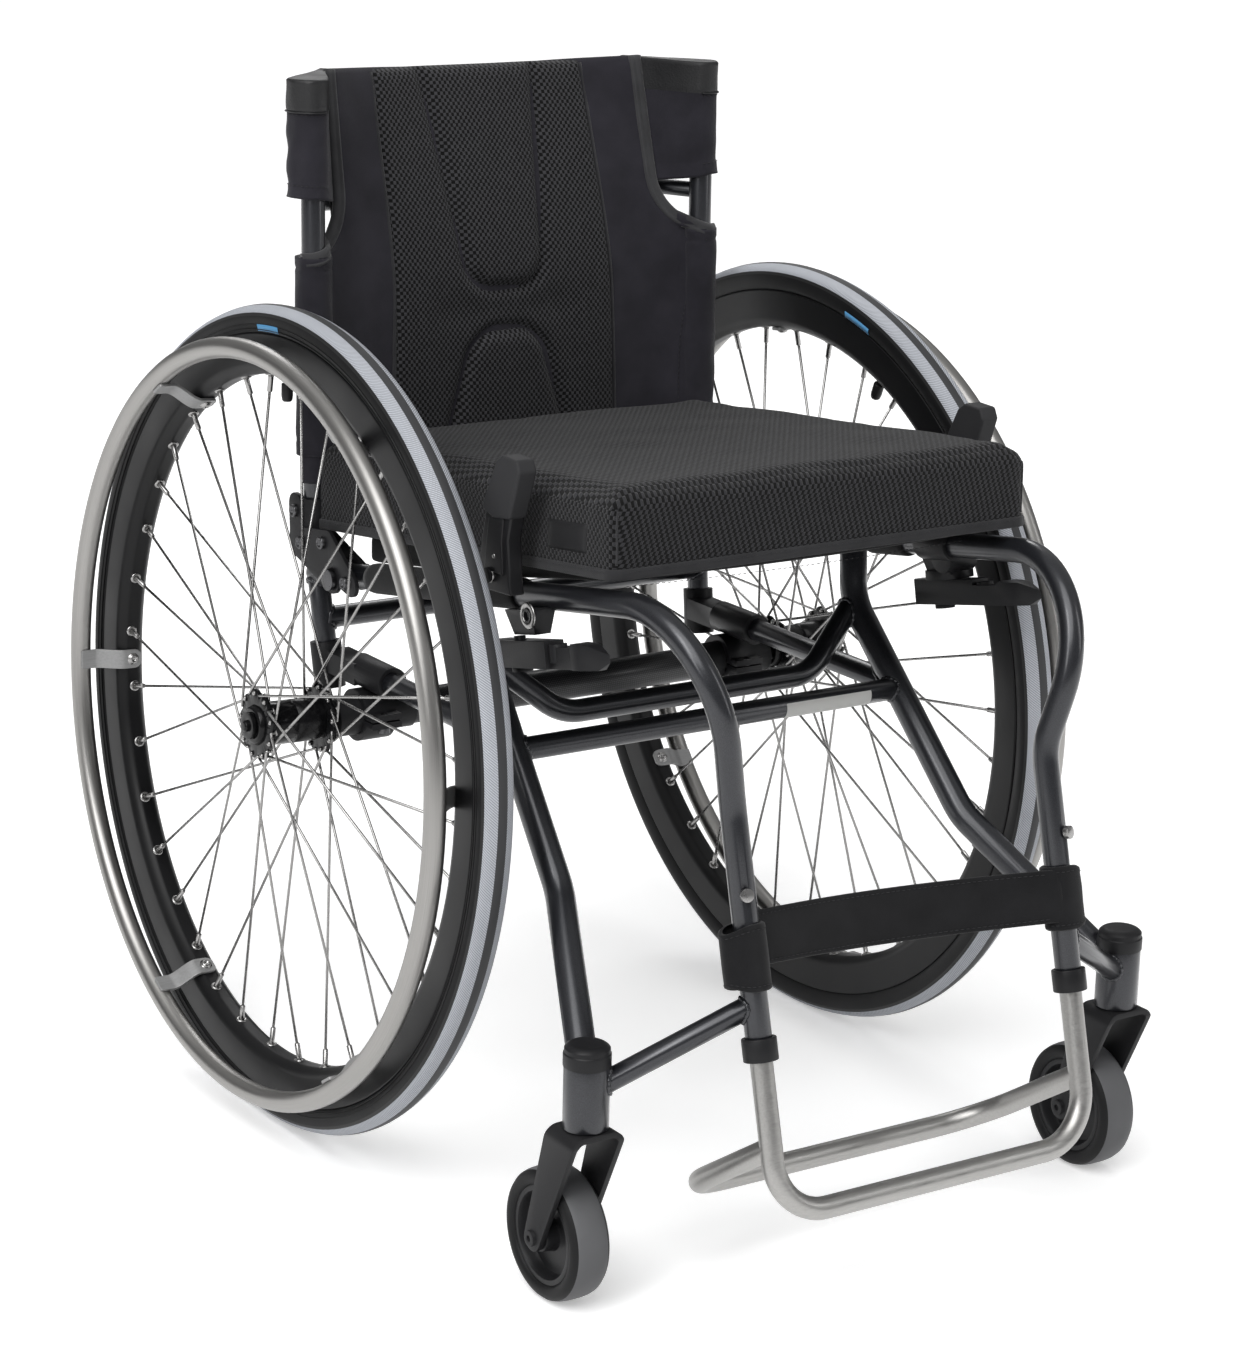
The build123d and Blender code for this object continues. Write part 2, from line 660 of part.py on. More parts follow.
def make_caster_wheel(side, name):
    """Five-window plastic wheel and the soft tyre moulded round it."""
    axis = Axis(at(side * CASTER_X, CASTER_AXLE_Y, CASTER_R), (1, 0, 0))
    half = CASTER_HALF_W
    with BuildPart() as tyre:
        with BuildSketch(caster_plane(side)):
            with BuildLine():
                Polyline((33, -12), (36, -half), (39.5, -half))
                ThreePointArc((39.5, -half), (43.2, -12.2), (CASTER_R, -7.5))
                Line((CASTER_R, -7.5), (CASTER_R, 7.5))
                ThreePointArc((CASTER_R, 7.5), (43.2, 12.2), (39.5, half))
                Polyline((39.5, half), (36, half), (33, 12), (33, -12))
            make_face()
        revolve(axis=axis)
    save(tyre, f"caster_tyre_{name}")
    with BuildPart() as wheel:
        with BuildSketch(caster_plane(side)):
            with BuildLine():
                Polyline(
                    (4.06, -half),
                    (10, -half),
                    (11.5, -5),
                    (27, -4),
                    (29.5, -12),
                    (33, -12),
                    (33, 12),
                    (29.5, 12),
                    (27, 4),
                    (11.5, 5),
                    (10, half),
                    (4.06, half),
                    close=True,
                )
            make_face()
        revolve(axis=axis)
        centre = at(side * CASTER_X - 20, CASTER_AXLE_Y, CASTER_R)
        with BuildSketch(Plane(origin=centre, x_dir=(0, 1, 0), z_dir=(1, 0, 0))):
            with PolarLocations(0, 5):
                with BuildLine():
                    Polyline((14.5, -3.5), (25.0, -9.0))
                    ThreePointArc((25.0, -9.0), (26.6, 0), (25.0, 9.0))
                    Polyline((25.0, 9.0), (14.5, 3.5), (14.5, -3.5))
                make_face()
        extrude(amount=40, mode=Mode.SUBTRACT)
    save(wheel, f"caster_wheel_{name}")


# ------------------------------------------------------------------ footrest
COLLAR_R = 11.5


def along_leg(side, t):
    """Point on the front tube's centre line, t beyond the tube's end."""
    down = Vector(0, -sin(LEG_TILT), -cos(LEG_TILT))
    return leg_axis_point(side, FRONT_END_Z) + down * t


def make_footrest():
    """Bent front tube with its two sliding legs, and the rear tube welded behind it."""
    top, bottom = FOOT_TOP_Z, FOOT_BAR_Z
    with BuildPart() as footrest:
        path = (
            leg_axis_point(1, top),
            leg_axis_point(1, bottom),
            leg_axis_point(-1, bottom),
            leg_axis_point(-1, top),
        )
        add(bent_tube(path, [FOOT_BEND, FOOT_BEND], FOOT_R, 0))
    save(footrest, "footrest_tube")
    with BuildPart() as rear:
        path = (
            leg_axis_point(1, 121),
            at(FRONT_X, -363, 53),
            at(-FRONT_X, -363, 53),
            leg_axis_point(-1, 121),
        )
        add(bent_tube(path, [42, 42], FOOT_R, 0))
        for _, side in SIDES:
            rod(leg_axis_point(side, 160), leg_axis_point(side, 90), FOOT_R + 0.01, Mode.SUBTRACT)
    save(rear, "footrest_rear_tube")


def make_collars():
    """Plastic collars on the ends of the front tubes, and the screws that clamp the footrest."""
    with BuildPart() as collars:
        for _, side in SIDES:
            rod(along_leg(side, -12), along_leg(side, 3), COLLAR_R)
            rod(along_leg(side, -12), along_leg(side, 0), RAIL_R, Mode.SUBTRACT)
            rod(along_leg(side, 0), along_leg(side, 3), FOOT_R + FOOT_FIT, Mode.SUBTRACT)
    save(collars, "footrest_collars")
    with BuildPart() as screws:
        for _, side in SIDES:
            out = screw_direction(side)
            centre = leg_axis_point(side, SCREW_Z)
            rod(centre + out * (FOOT_R + FOOT_FIT), centre + out * (RAIL_R + 1), SCREW_R)
            rod(centre + out * (RAIL_R + 1), centre + out * (RAIL_R + 4.5), 4.4)
    save(screws, "footrest_screws")


def make_calf_strap():
    """Strap looped round both front tubes, bowing back between them."""
    middle = (leg_axis_point(1, 239) + leg_axis_point(-1, 239)) * 0.5
    up = Vector(0, sin(LEG_TILT), cos(LEG_TILT))
    with BuildPart() as strap:
        with BuildSketch(Plane(origin=middle - up * 18.5, x_dir=(1, 0, 0), z_dir=up)):
            with Locations((-FRONT_X, 0), (FRONT_X, 0)):
                Circle(RAIL_R + 3)
            with BuildLine():
                ThreePointArc((-122.2, -9.2), (0, 20), (122.2, -9.2))
            trace(line_width=3)
            with Locations((-FRONT_X, 0), (FRONT_X, 0)):
                Circle(RAIL_R, mode=Mode.SUBTRACT)
        extrude(amount=37)
    save(strap, "calf_strap")


# ------------------------------------------------------------------ seat
CUSHION_FRONT = -330.0
CUSHION_REAR = 53.0
CUSHION_TAIL = 64.5
TAIL_HALF_W = 140.0


def cushion_bottom(y):
    return 465.0 - (y - CUSHION_FRONT) * 0.1243


def cushion_top(y):
    return 519.0 - (y + 319) * 0.1035


def make_cushion():
    """Wedge cushion, with a narrower tail that reaches back between the posts to the back pad."""
    front, rear = CUSHION_FRONT, CUSHION_REAR
    with BuildPart() as cushion:
        with BuildSketch(side_plane(1, -SEAT_HALF_W)):
            with BuildLine():
                Polyline(
                    (-front, cushion_bottom(front)),
                    (-front - 9, cushion_top(front + 9)),
                    (-rear, cushion_top(rear)),
                    (-rear, cushion_bottom(rear)),
                    close=True,
                )
            make_face()
        extrude(amount=-2 * SEAT_HALF_W)
        fillet(cushion.edges().filter_by(Axis.X).group_by(Axis.Y)[0], 9)
        tail = CUSHION_TAIL
        with BuildSketch(side_plane(1, -TAIL_HALF_W)):
            with BuildLine():
                Polyline(
                    (-rear + 20, cushion_bottom(rear - 20)),
                    (-rear + 20, cushion_top(rear - 20)),
                    (-tail, cushion_top(tail)),
                    (-tail, cushion_bottom(tail) + 8),
                    (-tail + 6, cushion_bottom(tail)),
                    close=True,
                )
            make_face()
        extrude(amount=-2 * TAIL_HALF_W)
    save(cushion, "seat_cushion")


def make_sling():
    """Padded seat upholstery sewn round the two rails; its sleeves leave a gap for the brake clamps."""
    over_rail = RAIL_R + 3
    front, rear = -322.0, 5.0
    with BuildPart() as sling:
        with BuildSketch(side_plane(1, -159)):
            with BuildLine():
                Polyline(
                    (-front, rail_z(front) + over_rail - 3),
                    (-front, cushion_bottom(front) - 0.3),
                    (-rear, cushion_bottom(rear) - 0.3),
                    (-rear, rail_z(rear) + over_rail - 3),
                    close=True,
                )
            make_face()
        extrude(amount=-2 * 159)
        for _, side in SIDES:
            for y0, y1 in ((-212, -168), (-120, -20)):
                rod(rail_point(side, y0), rail_point(side, y1), over_rail)
        for _, side in SIDES:
            add(rail_solid(side), mode=Mode.SUBTRACT)
            add(leg_solid(side), mode=Mode.SUBTRACT)
            rod(rail_point(side, -269), rail_point(side, -225), BRACKET_R + 0.3, Mode.SUBTRACT)
    save(sling, "seat_sling")


def rail_point(side, y):
    x = RAIL_X - (64 - y) * (RAIL_X - 157) / (64 + 428)
    return at(side * x, y, rail_z(y))


BRACKET_R = 11.6


# ------------------------------------------------------------------ wheel locks
LEVER_Y = -223.0
LEVER_Z = 449.0
LEVER_IN = 183.0
CLAMP_BOLT = (251.0, 426.3)
ARM_TILT = radians(12.5)
ARM_PIVOT = (176.0, -234.0, 396.3)
ARM_HALF_H = 9.0
ARM_TOP = ARM_HALF_H + 0.4
ARM_HALF_W = 7.5
DISC_R = 17.0
DISC_T = 6.5
PLATE_X = 178.5


def arm_pivot(side):
    return at(side * ARM_PIVOT[0], ARM_PIVOT[1], ARM_PIVOT[2])


def arm_up():
    return Vector(0, sin(ARM_TILT), cos(ARM_TILT))


def arm_forward():
    return Vector(0, -cos(ARM_TILT), sin(ARM_TILT))


def make_brake_brackets():
    """Clamp on each seat rail: lever plate and bolt boss outboard, and below it the arm's disc."""
    with BuildPart() as brackets:
        for _, side in SIDES:
            rod(rail_point(side, -264), rail_point(side, -230), BRACKET_R)
            with BuildSketch(side_plane(side, PLATE_X)):
                with Locations(CLAMP_BOLT):
                    Circle(11)
                with Locations((-LEVER_Y, LEVER_Z)):
                    Circle(9)
                make_hull()
            extrude(amount=2, both=True)
            bolt_y, bolt_z = -CLAMP_BOLT[0], CLAMP_BOLT[1]
            rod(at(side * 158, bolt_y, bolt_z), at(side * 182.2, bolt_y, bolt_z), 11)
            pivot = arm_pivot(side)
            disc = pivot + arm_up() * ARM_TOP
            with BuildSketch(Plane(origin=disc, x_dir=arm_forward(), z_dir=arm_up())):
                with Locations((8, 0)):
                    Circle(DISC_R)
            extrude(amount=DISC_T)
            with BuildSketch(Plane(origin=disc + arm_up() * 3, x_dir=arm_forward(), z_dir=arm_up())):
                with Locations((10, -side * 4)):
                    Rectangle(26, 12)
            extrude(amount=17, taper=-12)
            rod(at(side * PLATE_X, LEVER_Y, LEVER_Z), at(side * (LEVER_IN + 12), LEVER_Y, LEVER_Z), PIVOT_R - 1)
            rod(
                at(side * (LEVER_IN + 12), LEVER_Y, LEVER_Z),
                at(side * (LEVER_IN + 14.5), LEVER_Y, LEVER_Z),
                PIVOT_R,
            )
            rod(pivot - arm_up() * ARM_TOP, disc + arm_up() * 2, PIVOT_R - 1)
            rod(pivot - arm_up() * (ARM_TOP + 2.6), pivot - arm_up() * ARM_TOP, PIVOT_R + 2)
        for _, side in SIDES:
            add(rail_solid(side), mode=Mode.SUBTRACT)
    save(brackets, "brake_brackets")


def make_brake_lever(side, name):
    """Moulded lever with its rubber grip, on the pin of the bracket."""
    with BuildPart() as lever:
        with BuildSketch(side_plane(side, LEVER_IN)):
            with BuildLine():
                Polyline(
                    (249, 440),
                    (246, 453),
                    (244, 476),
                    (249, 496),
                    (214, 492),
                    (210, 469),
                    (208, 445),
                    (216, 437),
                    close=True,
                )
            make_face()
        extrude(amount=-side * 11.5)
        fillet(lever.edges().filter_by(Axis.X), 2.5)
        with BuildSketch(side_plane(side, LEVER_IN - 1)):
            with BuildLine():
                Polyline((249, 490), (260, 525), (256, 532), (238, 532), (230, 526), (213, 492), close=True)
            make_face()
        extrude(amount=-side * 14.5)
        fillet(lever.edges().filter_by(Axis.X).group_by(Axis.Z)[-1], 3)
        rod(at(side * 170, LEVER_Y, LEVER_Z), at(side * 210, LEVER_Y, LEVER_Z), 4.06, Mode.SUBTRACT)
    save(lever, f"brake_lever_{name}")


def make_brake_arm(side, name):
    """Scissor arm on its upright pivot: deep root, waisted link with a knuckle, and chisel nose."""
    pivot = arm_pivot(side)
    w, waist, h = ARM_HALF_W, ARM_HALF_W - 3, ARM_HALF_H
    with BuildPart() as arm:
        with BuildSketch(Plane(origin=pivot - arm_up() * h, x_dir=arm_forward(), z_dir=arm_up())):
            with BuildLine():
                Polyline((-24, -w), (84, -w), (108, 0), (84, w), (74, w), (68, waist), (42, waist), (42, w))
                Polyline((42, w), (-24, w), (-28, w - 4), (-28, -w + 4), (-24, -w))
            make_face()
            if side < 0:
                mirror(about=Plane.XZ, mode=Mode.REPLACE)
        extrude(amount=2 * h)
        with BuildSketch(Plane(origin=pivot, x_dir=arm_forward(), z_dir=(-1, 0, 0))):
            with BuildLine():
                Polyline((-28, -h), (98, -h), (108, -4), (108, 1), (90, 7), (72, 8), (67, 5))
                Polyline((67, 5), (42, 5), (42, h), (-28, h), (-28, -h))
            make_face()
        extrude(amount=20, both=True, mode=Mode.INTERSECT)
        knuckle = pivot + arm_forward() * 47
        rod(knuckle - arm_up() * 5, knuckle + arm_up() * 7, waist + 1.5)
        rod(pivot - arm_up() * 20, pivot + arm_up() * 20, 4.06, Mode.SUBTRACT)
    save(arm, f"brake_arm_{name}")


# ------------------------------------------------------------------ backrest
def post_y(z):
    return 67.0 + (z - 469) * POST_LEAN


def make_back_posts():
    with BuildPart() as posts:
        for _, side in SIDES:
            ends = (at(side * RAIL_X, post_y(POST_BOTTOM), POST_BOTTOM), at(side * RAIL_X, post_y(POST_TOP), POST_TOP))
            add(bent_tube(ends, [], POST_R, POST_WALL))
    save(posts, "back_posts")


def cut_posts(radius):
    for _, side in SIDES:
        rod(at(side * RAIL_X, post_y(380), 380), at(side * RAIL_X, post_y(780), 780), radius, Mode.SUBTRACT)


def make_back_bar():
    """Bowed bar that joins the two posts behind the upholstery."""
    z = 640
    with BuildPart() as bar:
        path = (
            at(-RAIL_X, post_y(z) + 4, z),
            at(-138, 128, z),
            at(138, 128, z),
            at(RAIL_X, post_y(z) + 4, z),
        )
        add(bent_tube(path, [30, 30], 6.0, 0))
        cut_posts(POST_R)
    save(bar, "back_bar")


# front of the cover: height, then how far back it lies at x = 0, 90, 140 and the edge, and the edge
BACK_SECTIONS = (
    (450, (74, 75, 69, 59), 166),
    (590, (80, 80, 74, 62), 166),
    (734, (130, 126, 109, 104), 148),
)
BACK_STEPS = (0, 90, 136)


def back_skin(ahead, thickness, width_scale=1.0):
    """Loft along the back's hollow: a sheet whose front lies ahead of the cover's front."""
    with BuildPart() as skin:
        for z, depths, edge in BACK_SECTIONS:
            reach = [x * width_scale for x in BACK_STEPS + (edge,)]
            front = [(x, AXLE_Y + y - ahead) for x, y in zip(reach, depths)]
            front = [(-x, y) for x, y in front[:0:-1]] + front
            rear = [(x, y + thickness) for x, y in reversed(front)]
            with BuildSketch(Plane.XY.offset(z)):
                with BuildLine():
                    Spline(*front)
                    Line(front[-1], rear[0])
                    Spline(*rear)
                    Line(rear[-1], front[0])
                make_face()
        loft()
    return skin.part


def arm_notches(floor, ceiling, inner):
    """Both arm notches of the back: open from a rounded inner corner out past the posts."""
    with BuildPart() as notches:
        for _, side in SIDES:
            corner = (side * inner, floor + 42)
            with BuildSketch(Plane.XZ.offset(-AXLE_Y - 70)):
                with BuildLine():
                    Line((side * inner, ceiling), corner)
                    RadiusArc(corner, (side * (inner + 42), floor), side * -46)
                    Polyline((side * (inner + 42), floor), (side * 200, floor), (side * 200, ceiling))
                    Line((side * 200, ceiling), (side * inner, ceiling))
                make_face()
            extrude(amount=100, both=True)
    return notches.part


def post_sleeve(side, low, high):
    rod(at(side * RAIL_X, post_y(low), low), at(side * RAIL_X, post_y(high), high), POST_R + 3)


def make_back_upholstery():
    """Front cover wrapped round the lower posts, mesh pad on it, and the sling behind."""
    with BuildPart() as cover:
        add(back_skin(0, 8))
        add(arm_notches(612, 800, 138), mode=Mode.SUBTRACT)
        for _, side in SIDES:
            post_sleeve(side, 470, 612)
        cut_posts(POST_R)
    save(cover, "back_cover")
    with BuildPart() as pad:
        add(back_skin(6, 12))
        with BuildSketch(Plane.XZ.offset(-AXLE_Y - 70)):
            with BuildLine():
                Polyline((-96, 449), (-89, 735), (89, 735), (96, 449), close=True)
            make_face()
        extrude(amount=100, both=True, mode=Mode.INTERSECT)
        add(back_skin(0, 8), mode=Mode.SUBTRACT)
    save(pad, "back_pad")
    with BuildPart() as sling:
        add(back_skin(-8.2, 3, 0.92))
        for _, side in SIDES:
            with BuildSketch(Plane.XY.offset(654)):
                with Locations((side * RAIL_X, AXLE_Y + post_y(694))):
                    Circle(POST_R + 3.5)
                with Locations((side * 134, AXLE_Y + 111)):
                    Circle(2)
                make_hull()
            extrude(amount=80)
        cut_posts(POST_R)
        add(cover.part, mode=Mode.SUBTRACT)
    save(sling, "back_sling")


HINGE_X = RAIL_X - 0.4
PLATE_GAP = RAIL_R + 1.2
PLATE_T = 3.0


def make_hinge():
    """Backrest hinge: twin plates and a clamp on each post, and the pivot bolt through the rail."""
    with BuildPart() as plates:
        for _, side in SIDES:
            for x in (HINGE_X - PLATE_GAP - PLATE_T / 2, HINGE_X + PLATE_GAP + PLATE_T / 2):
                with BuildSketch(side_plane(side, x)):
                    with Locations((-PIVOT_Y, PIVOT_Z), (-71, 405)):
                        Circle(10.5)
                    make_hull()
                extrude(amount=PLATE_T / 2, both=True)
                with BuildSketch(side_plane(side, x)):
                    with Locations((-72, 403), (-74, 432)):
                        Circle(9)
                    make_hull()
                extrude(amount=PLATE_T / 2, both=True)
            with BuildSketch(side_plane(side, HINGE_X + PLATE_GAP + PLATE_T / 2)):
                with Locations((-74, 408), (-26, 415), (8, 390)):
                    Circle(8)
                make_hull()
            extrude(amount=PLATE_T / 2, both=True)
            rod(at(side * RAIL_X, post_y(396), 396), at(side * RAIL_X, post_y(438), 438), PLATE_GAP + 1)
        for _, side in SIDES:
            rod(at(side * 140, PIVOT_Y, PIVOT_Z), at(side * 190, PIVOT_Y, PIVOT_Z), PIVOT_R, Mode.SUBTRACT)
        cut_posts(POST_R)
    save(plates, "hinge_plates")
    with BuildPart() as pivots:
        reach = PLATE_GAP + PLATE_T
        for _, side in SIDES:
            middle = at(side * HINGE_X, PIVOT_Y, PIVOT_Z)
            for direction in (Vector(1, 0, 0), Vector(-1, 0, 0)):
                rod(middle, middle + direction * reach, PIVOT_R)
                rod(middle + direction * reach, middle + direction * (reach + 4), PIVOT_R + 3)
    save(pivots, "hinge_pivots")


# ------------------------------------------------------------------ build everything
for name, side in SIDES:
    make_tyre(side, name)
    make_rim(side, name)
    make_spokes(side, name)
    make_hub(side, name)
    make_handrim(side, name)
    make_tabs(side, name)
    make_axle_pin(side, name)
    make_fork(side, name)
    make_caster_wheel(side, name)
    make_brake_lever(side, name)
    make_brake_arm(side, name)
make_side_tubes()
make_leg_tubes()
make_cross_tubes()
make_rear_tubes()
make_axle_tube()
make_axle_sleeves()
make_axle_clamps()
make_clamp_bolts()
make_caster_housings()
make_footrest()
make_collars()
make_calf_strap()
make_cushion()
make_sling()
make_brake_brackets()
make_back_posts()
make_back_bar()
make_back_upholstery()
make_hinge()
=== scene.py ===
import json
from math import atan2, cos, exp, hypot, pi, radians, sin, sqrt, tan

import bmesh
import bpy
import numpy as np
from mathutils import Matrix, Vector, noise
from mathutils.bvhtree import BVHTree


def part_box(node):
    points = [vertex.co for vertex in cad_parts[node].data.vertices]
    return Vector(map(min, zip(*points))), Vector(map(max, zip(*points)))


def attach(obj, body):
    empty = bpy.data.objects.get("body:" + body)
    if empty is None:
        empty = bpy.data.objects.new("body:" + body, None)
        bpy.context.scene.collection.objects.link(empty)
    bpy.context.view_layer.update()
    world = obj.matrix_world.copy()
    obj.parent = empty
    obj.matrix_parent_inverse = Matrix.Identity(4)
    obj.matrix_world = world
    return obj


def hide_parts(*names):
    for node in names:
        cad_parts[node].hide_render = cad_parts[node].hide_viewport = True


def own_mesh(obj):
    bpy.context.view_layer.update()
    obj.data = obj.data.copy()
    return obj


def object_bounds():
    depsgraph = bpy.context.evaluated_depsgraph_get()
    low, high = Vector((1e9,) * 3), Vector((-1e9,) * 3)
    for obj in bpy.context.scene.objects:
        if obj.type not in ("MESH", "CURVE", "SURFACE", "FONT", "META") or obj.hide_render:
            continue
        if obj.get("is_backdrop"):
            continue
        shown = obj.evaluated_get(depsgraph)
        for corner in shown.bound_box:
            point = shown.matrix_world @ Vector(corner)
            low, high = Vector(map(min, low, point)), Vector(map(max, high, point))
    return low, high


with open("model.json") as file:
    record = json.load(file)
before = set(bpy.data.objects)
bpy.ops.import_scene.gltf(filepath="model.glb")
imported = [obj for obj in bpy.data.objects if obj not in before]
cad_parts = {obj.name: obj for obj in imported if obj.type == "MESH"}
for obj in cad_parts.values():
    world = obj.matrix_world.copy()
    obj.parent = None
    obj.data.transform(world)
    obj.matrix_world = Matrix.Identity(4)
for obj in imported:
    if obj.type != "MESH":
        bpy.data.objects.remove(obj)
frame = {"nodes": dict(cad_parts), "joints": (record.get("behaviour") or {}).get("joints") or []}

CAD_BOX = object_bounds()
JOINTS = {joint["name"]: joint for joint in frame["joints"]}
SIDES = (("left", 1), ("right", -1))

# Lengths below are in millimetres, and y is counted from the rear axle line: at() turns them into
# metres in the row frame. LOOKS holds the materials, made before the first piece.
MM = 0.001
AXLE = Vector(JOINTS["wheel_spin_left"]["pos_m"])


def at(x, y, z):
    return Vector((x * MM, y * MM + AXLE.y, z * MM))


def clamp(value):
    return min(max(value, 0.0), 1.0)


def ease(t):
    """From 0 to 1 with level ends."""
    return t * t * (3 - 2 * t)


def ridge(value, middle, width):
    """Bell of height 1 round the middle."""
    return exp(-(((value - middle) / width) ** 2))


def ripple(*place):
    """Smooth noise, about -1 to 1."""
    return noise.noise(Vector(place))


def steps(low, high, count):
    """Evenly spaced values from low to high, both included."""
    return [low + (high - low) * i / count for i in range(count + 1)]


def linked(name, data):
    """An object for a mesh, lamp or camera, put into the scene."""
    made = bpy.data.objects.new(name, data)
    bpy.context.scene.collection.objects.link(made)
    return made


# ------------------------------------------------------------------ camera, light and floor
def make_camera():
    """Camera solved from the outlines of the wheels and handrims in the photograph."""
    right = Vector((0.83562, -0.54868, 0.02631))
    up = Vector((0.12871, 0.24214, 0.96167))
    turn = Matrix((right, up, right.cross(up))).transposed()
    camera = linked("camera", bpy.data.cameras.new("camera"))
    camera.matrix_world = Matrix.Translation(at(-1391.2, -2178.4, 1031.4)) @ turn.to_4x4()
    camera.data.lens = 96.14
    camera.data.sensor_width = 36
    camera.data.clip_end = 60
    bpy.context.scene.camera = camera


def area_light(name, place, aim, size, power):
    lamp = linked(name, bpy.data.lights.new(name, "AREA"))
    lamp.data.shape = "RECTANGLE"
    lamp.data.size, lamp.data.size_y = size
    lamp.data.energy = power
    lamp.location = place
    lamp.rotation_euler = (Vector(aim) - Vector(place)).to_track_quat("-Z", "Y").to_euler()


def make_studio():
    """White floor and surroundings for the camera, softer light from above for the object."""
    scene = bpy.context.scene
    scene.view_settings.view_transform = "Standard"
    scene.view_settings.look = "None"
    scene.world = bpy.data.worlds.new("studio")
    scene.world.use_nodes = True
    scene.world.node_tree.nodes.clear()
    sky = Nodes(scene.world.node_tree)
    shade = sky.ramp(sky.split(sky.coords("Generated"))[2], 0.0, 0.8, (0.25, 0.25, 0.26), (1, 1, 1))
    light = sky.node("Background", {"Color": shade, "Strength": 0.42})
    white = sky.node("Background", {"Color": (1, 1, 1, 1)})
    seen = sky.node("LightPath").outputs["Is Camera Ray"]
    mixed = sky.node("MixShader", {0: seen, 1: light.outputs[0], 2: white.outputs[0]})
    sky.node("OutputWorld", {"Surface": mixed.outputs[0]})

    sun = linked("sun", bpy.data.lights.new("sun", "SUN"))
    sun.data.energy = 1.7
    sun.data.angle = radians(50)
    sun.rotation_euler = (radians(28), radians(-22), radians(-20))
    area_light("softbox_left", (-2.4, -1.2, 2.1), (0, 0, 0.35), (0.7, 2.2), 26)
    area_light("softbox_right", (2.3, -2.3, 1.7), (0, 0, 0.4), (0.5, 2.2), 13)
    area_light("softbox_back", (0.9, 2.2, 2.1), (0, 0, 0.5), (1.8, 0.7), 18)

    floor = grid_object("floor", [[Vector((x, y, 0)) for x in (-40, 40)] for y in (-40, 40)])
    floor.data.materials.append(floor_material())
    floor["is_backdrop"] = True


# ------------------------------------------------------------------ materials
class Nodes:
    """Short ways to add nodes to a tree and to link them."""

    def __init__(self, tree):
        self.tree = tree

    def set(self, node, socket, value):
        target = node.inputs[socket]
        if isinstance(value, bpy.types.NodeSocket):
            self.tree.links.new(value, target)
        else:
            target.default_value = value

    def node(self, kind, inputs=(), **settings):
        made = self.tree.nodes.new("ShaderNode" + kind)
        for key, value in settings.items():
            setattr(made, key, value)
        for socket, value in dict(inputs).items():
            self.set(made, socket, value)
        return made

    def math(self, operation, a, b=0.0):
        return self.node("Math", {0: a, 1: b}, operation=operation).outputs[0]

    def add(self, a, b):
        return self.math("ADD", a, b)

    def times(self, a, b):
        return self.math("MULTIPLY", a, b)

    def wave(self, value, length):
        return self.math("SINE", self.times(value, 2 * pi / length))

    def mix(self, factor, a, b):
        return self.node("Mix", {"Factor": factor, 6: a, 7: b}, data_type="RGBA").outputs[2]

    def coords(self, kind="Object"):
        return self.node("TexCoord").outputs[kind]

    def split(self, vector):
        return self.node("SeparateXYZ", {0: vector}).outputs

    def noise(self, scale, detail=2.0, coords=None, roughness=0.5, stretch=None):
        vector = coords or self.coords()
        if stretch:
            vector = self.node("Mapping", {"Vector": vector, "Scale": stretch}).outputs[0]
        inputs = {"Vector": vector, "Scale": scale, "Detail": detail, "Roughness": roughness}
        return self.node("TexNoise", inputs).outputs[0]

    def ramp(self, value, low, high, a, b):
        """Value mapped from low..high onto a..b, numbers or colours."""
        if isinstance(a, (int, float)):
            spread = {"Value": value, "From Min": low, "From Max": high, "To Min": a, "To Max": b}
            return self.node("MapRange", spread).outputs[0]
        made = self.node("ValToRGB", {"Fac": value})
        first, last = made.color_ramp.elements
        first.position, last.position = low, high
        first.color, last.color = (*a, 1), (*b, 1)
        return made.outputs[0]


class Shader(Nodes):
    """A procedural material under construction, with its principled shader."""

    def __init__(self, name, colour, roughness, metallic=0.0, **sockets):
        self.material = bpy.data.materials.new(name)
        self.material.use_nodes = True
        super().__init__(self.material.node_tree)
        self.surface = self.tree.nodes["Principled BSDF"]
        self.set(self.surface, "Base Color", (*colour, 1))
        self.set(self.surface, "Roughness", roughness)
        self.set(self.surface, "Metallic", metallic)
        for key, value in sockets.items():
            self.set(self.surface, key.replace("_", " ").title().replace("Ior", "IOR"), value)

    def bump(self, height, strength, distance):
        inputs = {"Height": height, "Strength": strength, "Distance": distance}
        previous = self.surface.inputs["Normal"].links
        if previous:
            inputs["Normal"] = previous[0].from_socket
        self.set(self.surface, "Normal", self.node("Bump", inputs).outputs[0])

    def vary(self, socket, value, low, high, a, b):
        self.set(self.surface, socket, self.ramp(value, low, high, a, b))


def plain_material(name, colour, roughness):
    shader = Shader(name, colour, roughness)
    shader.vary("Roughness", shader.noise(3), 0.3, 0.7, roughness - 0.05, roughness + 0.05)
    return shader.material


def floor_material():
    """Matt white floor, lifted to a full white for the camera and in reflections."""
    shader = Shader("floor", (0.95, 0.95, 0.95), 0.75)
    path = shader.node("LightPath").outputs
    seen = shader.math("MAXIMUM", path["Is Camera Ray"], path["Is Glossy Ray"])
    shader.vary("Emission Strength", seen, 0, 1, 0.0, 0.36)
    shader.set(shader.surface, "Emission Color", (1, 1, 1, 1))
    shader.vary("Roughness", shader.noise(3), 0.3, 0.7, 0.7, 0.8)
    return shader.material


